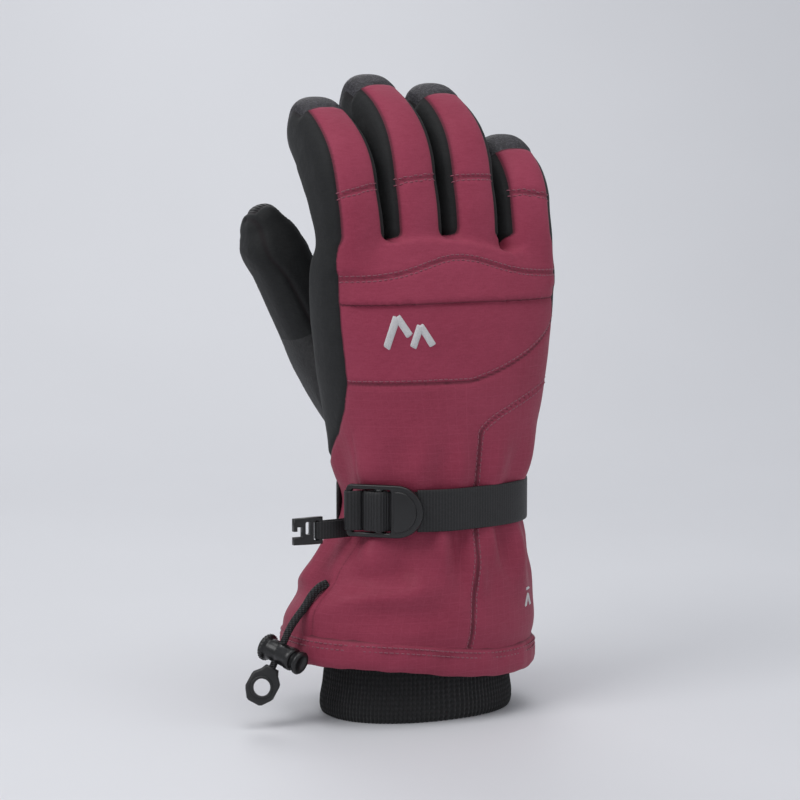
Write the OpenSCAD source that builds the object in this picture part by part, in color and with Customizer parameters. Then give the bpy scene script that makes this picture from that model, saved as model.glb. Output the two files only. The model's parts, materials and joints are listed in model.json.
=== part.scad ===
// Padded ski glove for a right hand, standing on its knitted storm cuff with the fingers up.
// -Y is the back of the hand, +Y the palm and -X the thumb side. The origin is the middle of the cuff's foot.

/* [Glove] */
// Half width of the hand across the knuckles
hand_half_w = 63; // [60:1:66]
// Half width of the wrist under the strap
wrist_half_w = 46; // [44:1:48]
// Half width of the gauntlet at its hem
hem_half_w = 63; // [60:1:66]
// Height of the crotch between the index and middle fingers
crotch_h = 229; // [227:1:232]
// How far the fingers lean towards the palm at rest, in degrees
base_tilt = 14; // [10:1:18]
// Direction of the fingertips from upright at rest, in degrees
tip_tilt = 48; // [40:1:52]

/* [Layers] */
// Thickness of the outer fabric and leather
shell_t = 1.4; // [1.2:0.1:1.6]
// Thickness of the insulation
fill_t = 3.4; // [3:0.1:4]
// Thickness of the lining
lining_t = 1.2; // [1:0.1:1.4]

/* [Strap and hardware] */
// Width of the wrist webbing
strap_w = 20; // [18:1:20]
// Thickness of the wrist webbing
strap_t = 1.8; // [1.4:0.1:2]
// Length of the buckle frame along the strap
buckle_l = 26; // [24:1:28]
// Diameter of the doubled elastic drawcord
cord_d = 4.4; // [4:0.2:4.6]
// Travel of the cord lock's button
button_travel = 3; // [2:0.5:3.5]

/* [Hidden] */
FINGERS = ["index", "middle", "ring", "little"];
FINGER_PARTS = ["base_back", "base_sides", "base_padding", "tip_back", "tip_sides", "tip_cap", "tip_padding"];

$fn = 48;
RED = [0.50, 0.21, 0.28];
BLACK = [0.17, 0.17, 0.18];
GREY = [0.25, 0.24, 0.27];
WHITE = [0.85, 0.85, 0.84];
GOLD = [0.60, 0.58, 0.40];

// The hand stands a little towards the little finger and the back from the middle of the cuff.
hand_x = 6;
hand_y = -6;
insulation_in = shell_t + fill_t;
wall_t = insulation_in + lining_t;
gauntlet_in = shell_t + lining_t;
cuff_t = 2;
foot_z = 0;
hem_z = 20;
hem_seam_z = 34;
strap_z = 103;
wrist_z = 114;
thumb_seam_z = 125;
back_seam_z = 163;
pleat_z = 200;
yoke_z = 212;
hand_top_z = 222;

// Each row is a height, the section's middle in X and Y, its half width, half depth and squareness.
sections = [
    [hem_z, -3, 2, hem_half_w, 46, 2.2],
    [hem_seam_z, -3, 2, hem_half_w, 46, 2.2],
    [60, 1, -1, hem_half_w - 5, 42, 2.2],
    [88, 5, -5, wrist_half_w + 1.5, 34.5, 2.2],
    [strap_z, hand_x, hand_y, wrist_half_w, 33, 2.2],
    [wrist_z, hand_x, hand_y, wrist_half_w + 1, 34, 2.2],
    [thumb_seam_z, hand_x, hand_y, wrist_half_w + 3, 35, 2.3],
    [back_seam_z, hand_x, hand_y, hand_half_w - 6, 33, 2.4],
    [pleat_z, hand_x, hand_y, hand_half_w - 1, 29, 2.6],
    [yoke_z, hand_x, hand_y - 0.5, hand_half_w, 25.5, 2.8],
    [hand_top_z, hand_x, hand_y - 1, hand_half_w, 21, 3],
];
heights = [hem_z, hem_seam_z, 46, 60, 74, 88, strap_z, wrist_z, thumb_seam_z, 144, back_seam_z,
    182, pleat_z, yoke_z, hand_top_z];

// Angles round a section: 0 is +X, 90 the palm, 180 the thumb side and 270 the back of the hand.
body_step = 10;
back_from = 200;
back_to = 340;
side_seam = 280;
palm_from = 140;

// ---- Surfaces as grids of points ----

function power(v, n) = sign(v) * pow(abs(v), 2 / n);
function oval(u, a, b, n) = [a * power(cos(u), n), b * power(sin(u), n)];
function steps(from, to, by) = [for (u = [from:by:to]) u];
function between(low, high) = [for (z = heights) if (z >= low && z <= high) z];
function row(z) = [for (c = [0:5]) lookup(z, [for (s = sections) [s[0], s[c]]])];

// A point of the glove body at a height, an angle and a depth under the outer face.
function body_point(z, u, t) =
    let (s = row(z), p = oval(u, s[3] - t, s[4] - t, s[5]))
    [s[1] + p[0], s[2] + p[1], z];
function body_grid(zs, us, t) = [for (z = zs) [for (u = us) body_point(z, u, t)]];

function flat(grid) = [for (ring = grid) for (p = ring) p];
function quad(a, b, c, d) = [[a, b, c], [a, c, d]];
function quads(list) = [for (q = list) for (f = quad(q[0], q[1], q[2], q[3])) f];
function fan(first, n, turn) =
    [for (k = [1:n - 2]) turn ? [first, first + k, first + k + 1] : [first, first + k + 1, first + k]];

// A closed solid between an outer and an inner grid. closed joins the last column to the first,
// and domed ends the solid in a cap in place of a rim.
module slab(outer, inner, closed = false, domed = false) {
    rows = len(outer);
    cols = len(outer[0]);
    spans = closed ? cols : cols - 1;
    inside = rows * cols;
    top = (rows - 1) * cols;
    walls = quads([for (j = [0:rows - 2]) for (k = [0:spans - 1])
        let (a = j * cols + k, b = j * cols + (k + 1) % cols)
        for (q = [[a, a + cols, b + cols, b], [inside + a, inside + b, inside + b + cols, inside + a + cols]])
            q]);
    foot = quads([for (k = [0:spans - 1])
        let (b = (k + 1) % cols)
        [k, b, inside + b, inside + k]]);
    rim = quads([for (k = [0:spans - 1])
        let (a = top + k, b = top + (k + 1) % cols)
        [a, inside + a, inside + b, b]]);
    ends = closed ? [] : quads([for (j = [0:rows - 2])
        let (a = j * cols, b = j * cols + cols - 1)
        for (q = [[a, inside + a, inside + a + cols, a + cols], [b, b + cols, inside + b + cols, inside + b]])
            q]);
    head = domed ? concat(fan(top, cols, false), fan(inside + top, cols, true)) : rim;
    polyhedron(concat(flat(outer), flat(inner)), concat(walls, foot, head, ends));
}

// A closed solid inside one grid, for cutting.
module block(grid) {
    rows = len(grid);
    cols = len(grid[0]);
    walls = quads([for (j = [0:rows - 2]) for (k = [0:cols - 1])
        let (a = j * cols + k, b = j * cols + (k + 1) % cols)
        [a, a + cols, b + cols, b]]);
    polyhedron(flat(grid), concat(walls, fan(0, cols, true), fan((rows - 1) * cols, cols, false)));
}

module body_patch(low, high, from, to, t0, t1) {
    us = steps(from, to, body_step);
    zs = between(low, high);
    slab(body_grid(zs, us, t0), body_grid(zs, us, t1));
}

module body_tube(low, high, t0, t1) {
    us = steps(0, 360 - body_step, body_step);
    zs = between(low, high);
    slab(body_grid(zs, us, t0), body_grid(zs, us, t1), closed = true);
}

// ---- Digits: straight padded channels with a hinge at each end ----

joint_gap = 0.4;
bend_back = 11;
base_flex = 41;
tip_flex = 56;
digit_step = 18;
digit_us = steps(0, 360 - digit_step, digit_step);
back_us = steps(216, 324, digit_step);
side_us = steps(324, 576, digit_step);
digit_n = 2.6;
half_w = 15;
half_d = 16;
cap_r = 14;
cap_from = 2;

// Pitch of the fingers, and for each finger: hinge height, lean outwards, base length and tip length.
pitch = 31;
finger_y = hand_y - 2;
hinge_h = crotch_h + 11;
finger_table = [
    [hinge_h, -2, 25, 44],
    [hinge_h + 1, -0.5, 32, 48],
    [hinge_h, 0.5, 31, 46],
    [hinge_h - 9, 2, 20, 35],
];
function finger_x(i) = hand_x + (i - 1.5) * pitch;

// A frame is an origin with an across, a depth and an along direction.
function digit_frame(at, lean, tilt) =
    [at, [cos(lean), 0, -sin(lean)],
        [-sin(lean) * sin(tilt), cos(tilt), -cos(lean) * sin(tilt)],
        [sin(lean) * cos(tilt), sin(tilt), cos(lean) * cos(tilt)]];
function place(f, p) = f[0] + p[0] * f[1] + p[1] * f[2] + p[2] * f[3];
function finger_root(i) = digit_frame([finger_x(i), finger_y, finger_table[i][0]], finger_table[i][1], 0);
function finger_base(i) = digit_frame(finger_root(i)[0], finger_table[i][1], base_tilt);
function finger_tip(i) =
    digit_frame(place(finger_base(i), [0, 0, finger_table[i][2]]), finger_table[i][1], tip_tilt);

// How high an end face stands at a depth q, for a bend that closes by `flex` on the palm side.
function lower_cut(q, bend, flex) = joint_gap + q * tan(q > 0 ? bend / 2 + flex / 2 : bend / 2 - bend_back / 2);
function upper_cut(q, bend, flex) = -joint_gap - q * tan(q > 0 ? bend / 2 + flex / 2 : bend / 2 - bend_back / 2);

function channel_ring(f, us, t, w, d, low, high, share) =
    [for (u = us)
        let (p = oval(u, w - t, d - t, digit_n),
            foot = low(p[1], p[0]),
            head = high(p[1], p[0]))
        place(f, [p[0], p[1], foot + (head - foot) * share])];

function base_grid(i, us, t) =
    let (l = finger_table[i][2])
    [for (share = [0, 0.5, 1])
        channel_ring(finger_base(i), us, t, half_w - share * 0.5, half_d - share * 0.5,
            function(q, p) lower_cut(q, base_tilt, base_flex),
            function(q, p) l + upper_cut(q, tip_tilt - base_tilt, tip_flex), share)];
function root_grid(i, us, t) =
    let (down = finger_table[i][0] - hand_top_z - 0.02, l = finger_table[i][1])
    [for (share = [0, 1])
        channel_ring(finger_root(i), us, t, half_w, half_d,
            function(q, p) (p * sin(l) - down) / cos(l),
            function(q, p) upper_cut(q, base_tilt, base_flex), share)];

// The tip is a straight stretch and then a dome. Its rings come in the order from the hinge to the end.
function tip_ring(f, us, t, w, d, l, n, low) =
    let (straight = l - cap_r,
        turn = n <= cap_from ? 0 : [22, 44, 64, 80][n - cap_from - 1],
        share = n / cap_from)
    [for (u = us)
        let (p = oval(u, (w - t) * cos(turn), (d - t) * cos(turn), digit_n), foot = low(p[1]))
        place(f, [p[0], p[1], n <= cap_from
            ? foot + (straight - foot) * share
            : straight + (cap_r - t) * sin(turn)])];
tip_rings = 7;
cap_ring = 3;
function tip_grid(i, us, t, rings) =
    [for (n = rings)
        tip_ring(finger_tip(i), us, t, half_w - 0.5 - min(n, 2) * 0.25, half_d - 0.5 - min(n, 2) * 0.5,
            finger_table[i][3], n, function(q) lower_cut(q, tip_tilt - base_tilt, tip_flex))];

module finger(i, piece) {
    stretch = [for (n = [0:cap_ring]) n];
    dome = [for (n = [cap_ring:tip_rings - 1]) n];
    whole = [for (n = [0:tip_rings - 1]) n];
    if (piece == "base_back")
        color(RED) slab(base_grid(i, back_us, 0), base_grid(i, back_us, shell_t));
    if (piece == "base_sides")
        color(BLACK) slab(base_grid(i, side_us, 0), base_grid(i, side_us, shell_t));
    if (piece == "base_padding")
        color(WHITE) slab(base_grid(i, digit_us, shell_t), base_grid(i, digit_us, wall_t), closed = true);
    if (piece == "tip_back")
        color(RED) slab(tip_grid(i, back_us, 0, stretch), tip_grid(i, back_us, shell_t, stretch));
    if (piece == "tip_sides")
        color(BLACK) slab(tip_grid(i, side_us, 0, stretch), tip_grid(i, side_us, shell_t, stretch));
    if (piece == "tip_cap")
        color(GREY) slab(tip_grid(i, digit_us, 0, dome), tip_grid(i, digit_us, shell_t, dome),
            closed = true, domed = true);
    if (piece == "tip_padding")
        color(WHITE) slab(tip_grid(i, digit_us, shell_t, whole), tip_grid(i, digit_us, wall_t, whole),
            closed = true, domed = true);
}

module finger_gussets() {
    color(BLACK) for (i = [0:3])
        slab(root_grid(i, digit_us, 0), root_grid(i, digit_us, shell_t), closed = true);
}

module gusset_padding() {
    color(WHITE) for (i = [0:3])
        slab(root_grid(i, digit_us, shell_t), root_grid(i, digit_us, wall_t), closed = true);
}

// ---- Thumb: leans out from the palm, swings outwards and bends towards the palm ----

thumb_lean = -28;
thumb_hinge = [-37, 36, 186];
thumb_base_l = 29;
thumb_tip_l = 37;
thumb_swing = 36;
thumb_flex = 41;
thumb_half_w = 16;
thumb_half_d = 15.5;
thumb_base = digit_frame(thumb_hinge, thumb_lean, 0);
thumb_tip = digit_frame(place(thumb_base, [0, 0, thumb_base_l]), thumb_lean, 0);
function swing_cut(p) = joint_gap - min(p, 0) * tan(thumb_swing / 2);
function bend_cut(q) = joint_gap + (q > 0 ? q * tan(thumb_flex / 2) : -q * tan(bend_back / 2));
function thumb_base_grid(t) =
    [for (share = [0, 0.5, 1])
        channel_ring(thumb_base, digit_us, t, thumb_half_w, thumb_half_d,
            function(q, p) swing_cut(p), function(q, p) thumb_base_l - bend_cut(q), share)];
function thumb_tip_grid(t) =
    [for (n = [0:tip_rings - 1])
        tip_ring(thumb_tip, digit_us, t, thumb_half_w - min(n, 2) * 0.5, thumb_half_d - min(n, 2) * 0.25,
            thumb_tip_l, n, function(q) bend_cut(q))];

module thumb_base_shell() {
    color(BLACK) slab(thumb_base_grid(0), thumb_base_grid(shell_t + fill_t), closed = true);
}

module thumb_tip_shell() {
    color(BLACK) slab(thumb_tip_grid(0), thumb_tip_grid(shell_t), closed = true, domed = true);
}

module thumb_padding() {
    color(WHITE) slab(thumb_tip_grid(shell_t), thumb_tip_grid(wall_t), closed = true, domed = true);
}

// The root of the thumb swells out of the palm along a short path of overlapping discs.
root_discs = 9;
root_start = [-12, 12, 138];
root_start_r = 20;
module root_disc(share, r) {
    at = root_start + (thumb_hinge - root_start) * share;
    translate(at) rotate([0, thumb_lean * share, 0])
        cylinder(h = 0.2, r = r, center = true, $fn = 32);
}
module root_path(start_r, end_r, from = 0) {
    for (k = [0:root_discs - 1]) {
        a = from + (1 - from) * k / root_discs;
        b = from + (1 - from) * (k + 1) / root_discs;
        hull() {
            root_disc(a, start_r + (end_r - start_r) * a);
            root_disc(b, start_r + (end_r - start_r) * b);
        }
    }
}
module thumb_passage() {
    root_path(12, 11);
}

module thumb_root() {
    color(BLACK) difference() {
        root_path(root_start_r, thumb_half_d);
        block(body_grid(between(thumb_seam_z, hand_top_z), steps(0, 360 - body_step, body_step), 0));
        thumb_passage();
        translate(thumb_hinge) rotate([0, thumb_lean, 0]) {
            translate([-50, -50, -joint_gap]) cube([100, 100, 20]);
            rotate([0, -thumb_swing / 2, 0]) translate([-50, -50, -joint_gap]) cube([50, 100, 40]);
        }
    }
}

// ---- Hand ----

module back_panel() {
    color(RED) body_patch(back_seam_z, pleat_z, back_from, back_to, 0, shell_t);
}

module knuckle_yoke() {
    color(RED) body_patch(pleat_z, yoke_z, back_from, back_to, -1, shell_t);
}

module knuckle_panel() {
    color(RED) body_patch(yoke_z, hand_top_z, back_from, back_to, 0, shell_t);
}

module side_panel() {
    color(BLACK) body_patch(thumb_seam_z, hand_top_z, palm_from, back_from, 0, shell_t);
}

module palm_panel() {
    color(BLACK) difference() {
        body_patch(thumb_seam_z, hand_top_z, back_to - 360, palm_from, 0, shell_t);
        thumb_passage();
    }
}

module hand_insulation() {
    color(WHITE) difference() {
        body_tube(wrist_z, hand_top_z, shell_t, insulation_in);
        thumb_passage();
    }
}

module hand_lining() {
    color(GREY) difference() {
        body_tube(wrist_z, hand_top_z, insulation_in, wall_t);
        thumb_passage();
    }
}

// ---- Gauntlet and cuff ----

module gauntlet_back() {
    color(RED) body_patch(hem_seam_z, back_seam_z, back_from, side_seam, 0, shell_t);
}

module gauntlet_side() {
    color(RED) {
        body_patch(hem_seam_z, thumb_seam_z, side_seam, 360, 0, shell_t);
        body_patch(thumb_seam_z, back_seam_z, side_seam, back_to, 0, shell_t);
    }
}

module gauntlet_palm() {
    color(RED) body_patch(hem_seam_z, thumb_seam_z, 0, back_from, 0, shell_t);
}

module gauntlet_lining() {
    color(GREY) body_tube(hem_z, wrist_z, shell_t, gauntlet_in);
}

module hem_band() {
    color(RED) body_tube(hem_z, hem_seam_z, -0.8, shell_t);
}

// The cuff is sewn inside the wrist and hangs down past the hem onto what the glove stands on.
cuff_foot = [48, 35];
cuff_mid = [44, 31];
cuff_zs = [foot_z, hem_z, 40, 60, 88, strap_z, wrist_z];
function cuff_ring(z, t) =
    let (s = row(z))
    [for (u = steps(0, 360 - body_step, body_step))
        let (low = [lookup(z, [[foot_z, cuff_foot[0]], [60, cuff_mid[0]]]),
                lookup(z, [[foot_z, cuff_foot[1]], [60, cuff_mid[1]]])],
            drift = min(z, 60) / 60,
            p = oval(u, low[0] - t, low[1] - t, 2.2))
        z < 88
            ? [p[0] + drift, p[1] - drift, z]
            : body_point(z, u, gauntlet_in + t)];

module storm_cuff() {
    color(BLACK) slab([for (z = cuff_zs) cuff_ring(z, 0)], [for (z = cuff_zs) cuff_ring(z, cuff_t)],
        closed = true);
}

// A small generic chevron stands in for the embroidery on the back of the hand.
module emblem() {
    us = [240, 250];
    zs = [183, 195];
    color(WHITE) slab(body_grid(zs, us, -0.7), body_grid(zs, us, -0.06));
}

// ---- Wrist strap, buckle and clip ----

strap_from = 230;
strap_to = 520;
anchor_from = 160;
anchor_to = 200;
function band_grid(us, t, w) =
    [for (side = [-1, 0, 1]) [for (u = us) body_point(strap_z + side * w / 2, u, t)]];

module band(from, to, t0, t1, w) {
    us = steps(from, to, body_step);
    slab(band_grid(us, t0, w), band_grid(us, t1, w));
}

module wrist_strap() {
    color(BLACK) band(strap_from, strap_to, -strap_t, 0, strap_w);
}

module strap_tail() {
    color(BLACK) band(260, 300, -2 * strap_t, -strap_t, strap_w);
}

// The buckle's frame has X along the strap to the right, Y into the wrist and Z up.
buckle_at = [-37.1, -27.2, strap_z];
buckle_turn = -44;
bar_x = -12;
bar_r = 1.6;
rail_t = 3;
buckle_h = 25;
window_h = 20.6;
module at_buckle() {
    translate(buckle_at) rotate([0, 0, buckle_turn]) children();
}

module buckle() {
    tab_l = 12;
    right = bar_x + buckle_l;
    color(GREY) at_buckle() {
        for (side = [-1, 1])
            translate([bar_x, -rail_t / 2, side > 0 ? window_h / 2 : -buckle_h / 2])
                cube([buckle_l, rail_t, (buckle_h - window_h) / 2]);
        translate([bar_x, 0, -window_h / 2]) cylinder(h = window_h, r = bar_r);
        translate([right - 11, 0, -window_h / 2]) cylinder(h = window_h, r = 1.3);
        translate([right - 3, -rail_t / 2, -window_h / 2]) cube([3, rail_t, window_h]);
        intersection() {
            translate([right - 5, -rail_t / 2, 0]) rotate([-90, 0, 0]) cylinder(h = rail_t, r = buckle_h / 2 - 0.01);
            translate([right, -rail_t, -buckle_h / 2]) cube([tab_l, 2 * rail_t, buckle_h]);
        }
    }
}

fold_t = 1.4;
module strap_fold() {
    right = bar_x + buckle_l;
    color(BLACK) at_buckle() translate([right - 11, 0, -strap_w / 2 + 0.2]) difference() {
        cylinder(h = strap_w - 0.4, r = 1.4 + fold_t);
        translate([0, 0, -1]) cylinder(h = strap_w + 2, r = 1.35);
        translate([-6, 0, -1]) cube([12, 6, strap_w + 2]);
    }
}

// The anchor is sewn to the gauntlet and loops round the buckle's bar.
module strap_anchor() {
    loop_r = bar_r + 0.35;
    width = strap_w - 0.4;
    reach = 7.3;
    color(BLACK) {
        band(anchor_from, anchor_to, -strap_t, 0, strap_w);
        at_buckle() translate([bar_x, 0, -width / 2]) {
            difference() {
                cylinder(h = width, r = loop_r + fold_t);
                translate([0, 0, -1]) cylinder(h = width + 2, r = loop_r);
            }
        }
        difference() {
            at_buckle() translate([bar_x - fold_t / 2, loop_r + 0.2, -width / 2])
                cube([fold_t, reach - loop_r, width]);
            block(body_grid([74, 88, strap_z, wrist_z, thumb_seam_z], steps(0, 360 - body_step, body_step), -0.1));
        }
    }
}

// The clip hangs on a folded tab beside the buckle, with X outwards along the tab.
clip_at = [-58, -10, 93];
clip_turn = 180;
clip_w = 13;
clip_l = 15;
clip_t = 3.6;
clip_bar_r = 1.2;
module at_clip() {
    translate(clip_at) rotate([0, 0, clip_turn]) children();
}

module glove_clip() {
    color(GREY) at_clip() {
        difference() {
            translate([-2, -clip_t / 2, -clip_w / 2]) cube([clip_l, clip_t, clip_w]);
            translate([-3, -clip_t, -clip_w / 2 + 2]) cube([4.6, 2 * clip_t, clip_w - 4]);
            translate([4.5, -clip_t, -clip_w / 2 + 2.2]) cube([6, 2 * clip_t, clip_w - 4.4]);
            translate([8, -clip_t, -1.8]) cube([8, 2 * clip_t, 3.6]);
        }
        translate([4.4, -clip_t / 2, -1.2]) cube([3.4, clip_t, 2.4]);
        translate([-0.8, 0, -clip_w / 2 + 1]) cylinder(h = clip_w - 2, r = clip_bar_r);
    }
}

module clip_tab() {
    loop_r = clip_bar_r + 0.3;
    width = clip_w - 4.8;
    tab_l = 18;
    color(BLACK) difference() {
        clip_loop(loop_r, width, tab_l);
        block(body_grid([74, 88, strap_z], steps(0, 360 - body_step, body_step), -strap_t - 0.1));
    }
}

module clip_loop(loop_r, width, tab_l) {
    at_clip() translate([-0.8, 0, -width / 2]) difference() {
        union() {
            cylinder(h = width, r = loop_r + 0.9);
            translate([-tab_l, -loop_r - 0.9, 0]) cube([tab_l, 2 * loop_r + 1.8, width]);
        }
        translate([0, 0, -1]) cylinder(h = width + 2, r = loop_r);
    }
}

// ---- Drawcord with its lock and end ----

// Route of the cord's middle, from the slit in the gauntlet to the end piece.
cord_route = [[-53.5, -10, 67], [-57.5, -10, 65.5], [-61.5, -9.8, 62], [-65, -9.5, 57],
    [-69.3, -8.9, 48], [-74.2, -8.2, 38], [-79, -7.5, 28]];
cord_dir_v = cord_route[6] - cord_route[3];
cord_dir = cord_dir_v / norm(cord_dir_v);
lock_gap = 8.5;
lock_at = cord_route[6] - lock_gap * cord_dir;
lock_facing = [0.5, -0.866, 0];
end_facing = [0.883, -0.469, 0];

// The part of a direction that is square to the cord, one unit long.
function square_to_cord(v) = let (w = v - (v * cord_dir) * cord_dir) w / norm(w);

// A turn that sets X across the cord, Y out from it and Z along it.
module along_cord(at, facing) {
    across = square_to_cord(facing);
    out = cross(cord_dir, across);
    multmatrix([
        [across[0], out[0], cord_dir[0], at[0]],
        [across[1], out[1], cord_dir[1], at[1]],
        [across[2], out[2], cord_dir[2], at[2]],
        [0, 0, 0, 1]]) children();
}

cord_sides = 8;
function cord_way(k) =
    let (n = len(cord_route), v = cord_route[min(k + 1, n - 1)] - cord_route[max(k - 1, 0)])
    v / norm(v);
function cord_ring(k) =
    let (w = cord_way(k), x = cross([0, 1, 0], w), across = x / norm(x), out = cross(w, across))
    [for (s = [0:cord_sides - 1])
        cord_route[k] + cord_d / 2 * (cos(s * 360 / cord_sides) * across + sin(s * 360 / cord_sides) * out)];

module drawcord() {
    color(BLACK) block([for (k = [0:len(cord_route) - 1]) cord_ring(k)]);
}

lock_r = 5.4;
lock_l = 18;
lock_floor = -lock_l / 2 + 2;
lock_bore_r = 4.6;
button_r = 4.3;
cord_hole_r = cord_d / 2 + 0.4;
module cord_lock_body() {
    color(BLACK) along_cord(lock_at, lock_facing) difference() {
        rotate([0, 90, 0]) {
            translate([0, 0, -lock_l / 2]) cylinder(h = lock_l, r = lock_r);
            translate([0, 0, -lock_l / 2]) cylinder(h = 2, r = lock_r + 1);
        }
        rotate([0, 90, 0]) translate([0, 0, lock_floor]) cylinder(h = lock_l, r = lock_bore_r);
        translate([0, 0, -20]) cylinder(h = 40, r = cord_hole_r);
    }
}

// The spring sits in the button's hollow, so it is drawn at its pressed length.
spring_l = 3.4;
hollow_r = 3.4;
button_from = lock_floor + spring_l;
head_t = 2;
module cord_lock_button() {
    head_at = lock_l / 2 + button_travel + 0.3;
    color(GREY) along_cord(lock_at, lock_facing) difference() {
        rotate([0, 90, 0]) {
            translate([0, 0, button_from]) cylinder(h = head_at - button_from + 1, r = button_r);
            translate([0, 0, head_at]) cylinder(h = head_t, r = lock_r + 0.2);
        }
        rotate([0, 90, 0]) translate([0, 0, button_from - 1]) cylinder(h = button_travel + 1.1, r = hollow_r);
        translate([0, 0, -20]) cylinder(h = 40, r = cord_hole_r);
        translate([0, -cord_hole_r, -20]) cube([button_travel + 0.3, 2 * cord_hole_r, 40]);
        translate([button_travel + 0.3, 0, -20]) cylinder(h = 40, r = cord_hole_r);
    }
}

module cord_lock_spring() {
    wire = 0.49;
    turn_r = 2.7;
    turns = 3;
    pitch_l = (spring_l - 2 * wire) / (turns - 1);
    color(GOLD) along_cord(lock_at, lock_facing) rotate([0, 90, 0])
        for (k = [0:turns - 1])
            translate([0, 0, lock_floor + wire + k * pitch_l])
                rotate_extrude() translate([turn_r, 0]) circle(r = wire, $fn = 24);
}

end_l = 18;
end_w = 15;
end_t = 9;
module cord_end() {
    neck = 4;
    color(GREY) along_cord(cord_route[6], end_facing) difference() {
        intersection() {
            translate([0, end_t / 2, 0]) rotate([90, 0, 0]) linear_extrude(end_t)
                polygon([[-4, 0], [4, 0], [end_w / 2, 7], [end_w / 2, end_l - 5], [4, end_l - 1.5],
                    [-4, end_l - 1.5], [-end_w / 2, end_l - 5], [-end_w / 2, 7]]);
            rotate([0, 90, 0]) translate([0, 0, -end_w]) linear_extrude(2 * end_w)
                polygon([[0, -3.2], [0, 3.2], [-neck, end_t / 2], [-end_l, end_t / 2], [-end_l, -end_t / 2],
                    [-neck, -end_t / 2]]);
        }
        translate([0, 0, end_l - 9]) rotate([90, 0, 0]) cylinder(h = 4 * end_t, r = 4, center = true);
    }
}

// ---- Assembly ----

storm_cuff();
hem_band();
gauntlet_back();
gauntlet_side();
gauntlet_palm();
gauntlet_lining();
back_panel();
knuckle_yoke();
knuckle_panel();
side_panel();
palm_panel();
hand_insulation();
hand_lining();
finger_gussets();
gusset_padding();
thumb_root();
emblem();
wrist_strap();
strap_tail();
strap_anchor();
buckle();
strap_fold();
clip_tab();
glove_clip();
drawcord();
cord_lock_body();
cord_lock_button();
cord_lock_spring();
cord_end();
for (i = [0:3])
    for (piece = FINGER_PARTS)
        finger(i, piece);
thumb_base_shell();
thumb_tip_shell();
thumb_padding();
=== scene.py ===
# %% [markdown]
# # A padded ski glove
# The glove stands on its knitted cuff with the fingers up. The row frame is used as it comes: +Z runs to
# the fingertips, -Y is the back of the hand and -X is the thumb side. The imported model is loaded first,
# because every piece here takes its place and its body from it.

# %% Load the frame
import json
import math

import bmesh
import bpy
import numpy as np
from mathutils import Matrix, Vector
from mathutils.bvhtree import BVHTree


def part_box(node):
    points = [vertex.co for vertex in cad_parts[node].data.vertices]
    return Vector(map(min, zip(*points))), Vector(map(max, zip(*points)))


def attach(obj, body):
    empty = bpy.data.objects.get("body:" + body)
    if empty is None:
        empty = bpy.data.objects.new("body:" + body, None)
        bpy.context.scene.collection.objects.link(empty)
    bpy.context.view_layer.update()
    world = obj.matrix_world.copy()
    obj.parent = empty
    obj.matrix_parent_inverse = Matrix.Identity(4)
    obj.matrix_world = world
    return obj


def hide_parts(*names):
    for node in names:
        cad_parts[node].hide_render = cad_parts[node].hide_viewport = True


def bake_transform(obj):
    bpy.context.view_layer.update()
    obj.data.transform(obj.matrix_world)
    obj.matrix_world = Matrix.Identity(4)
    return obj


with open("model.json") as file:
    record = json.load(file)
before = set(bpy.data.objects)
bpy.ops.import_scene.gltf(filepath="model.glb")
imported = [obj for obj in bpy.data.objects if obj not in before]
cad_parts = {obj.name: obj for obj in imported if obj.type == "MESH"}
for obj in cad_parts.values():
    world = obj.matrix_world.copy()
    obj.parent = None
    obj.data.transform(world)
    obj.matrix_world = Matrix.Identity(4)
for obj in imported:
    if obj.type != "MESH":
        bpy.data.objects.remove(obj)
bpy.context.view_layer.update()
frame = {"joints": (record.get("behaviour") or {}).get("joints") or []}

MM = 0.001
FINGERS = ["index", "middle", "ring", "little"]
joints = {j["name"]: j for j in frame["joints"]}


def low_mm(node):
    return np.array(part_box(node)[0]) / MM


def high_mm(node):
    return np.array(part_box(node)[1]) / MM


# %% [markdown]
# ## Camera, floor and light
# The picture is taken from a little towards the thumb side and from slightly above, so that the back of the
# hand, the black index side and the thumb all show. Three big soft lights over a pale sweep give the even
# studio look, and a fourth from behind draws the edges of the black fabric.

# %% Camera
CAMERA_AZIMUTH = -28
CAMERA_ELEVATION = 6.5
CAMERA_DISTANCE = 1.30
AIM = Vector((-0.0069, 0.0034, 0.1508))
camera_data = bpy.data.cameras.new("camera")
camera = bpy.data.objects.new("camera", camera_data)
bpy.context.scene.collection.objects.link(camera)
turn = math.radians(CAMERA_AZIMUTH)
rise = math.radians(CAMERA_ELEVATION)
outward = Vector((math.sin(turn) * math.cos(rise), -math.cos(turn) * math.cos(rise), math.sin(rise)))
camera.location = AIM + outward * CAMERA_DISTANCE
camera.rotation_euler = (AIM - camera.location).to_track_quat("-Z", "Y").to_euler()
camera_data.lens = 121
camera_data.clip_start = 0.01
bpy.context.scene.camera = camera


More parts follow.
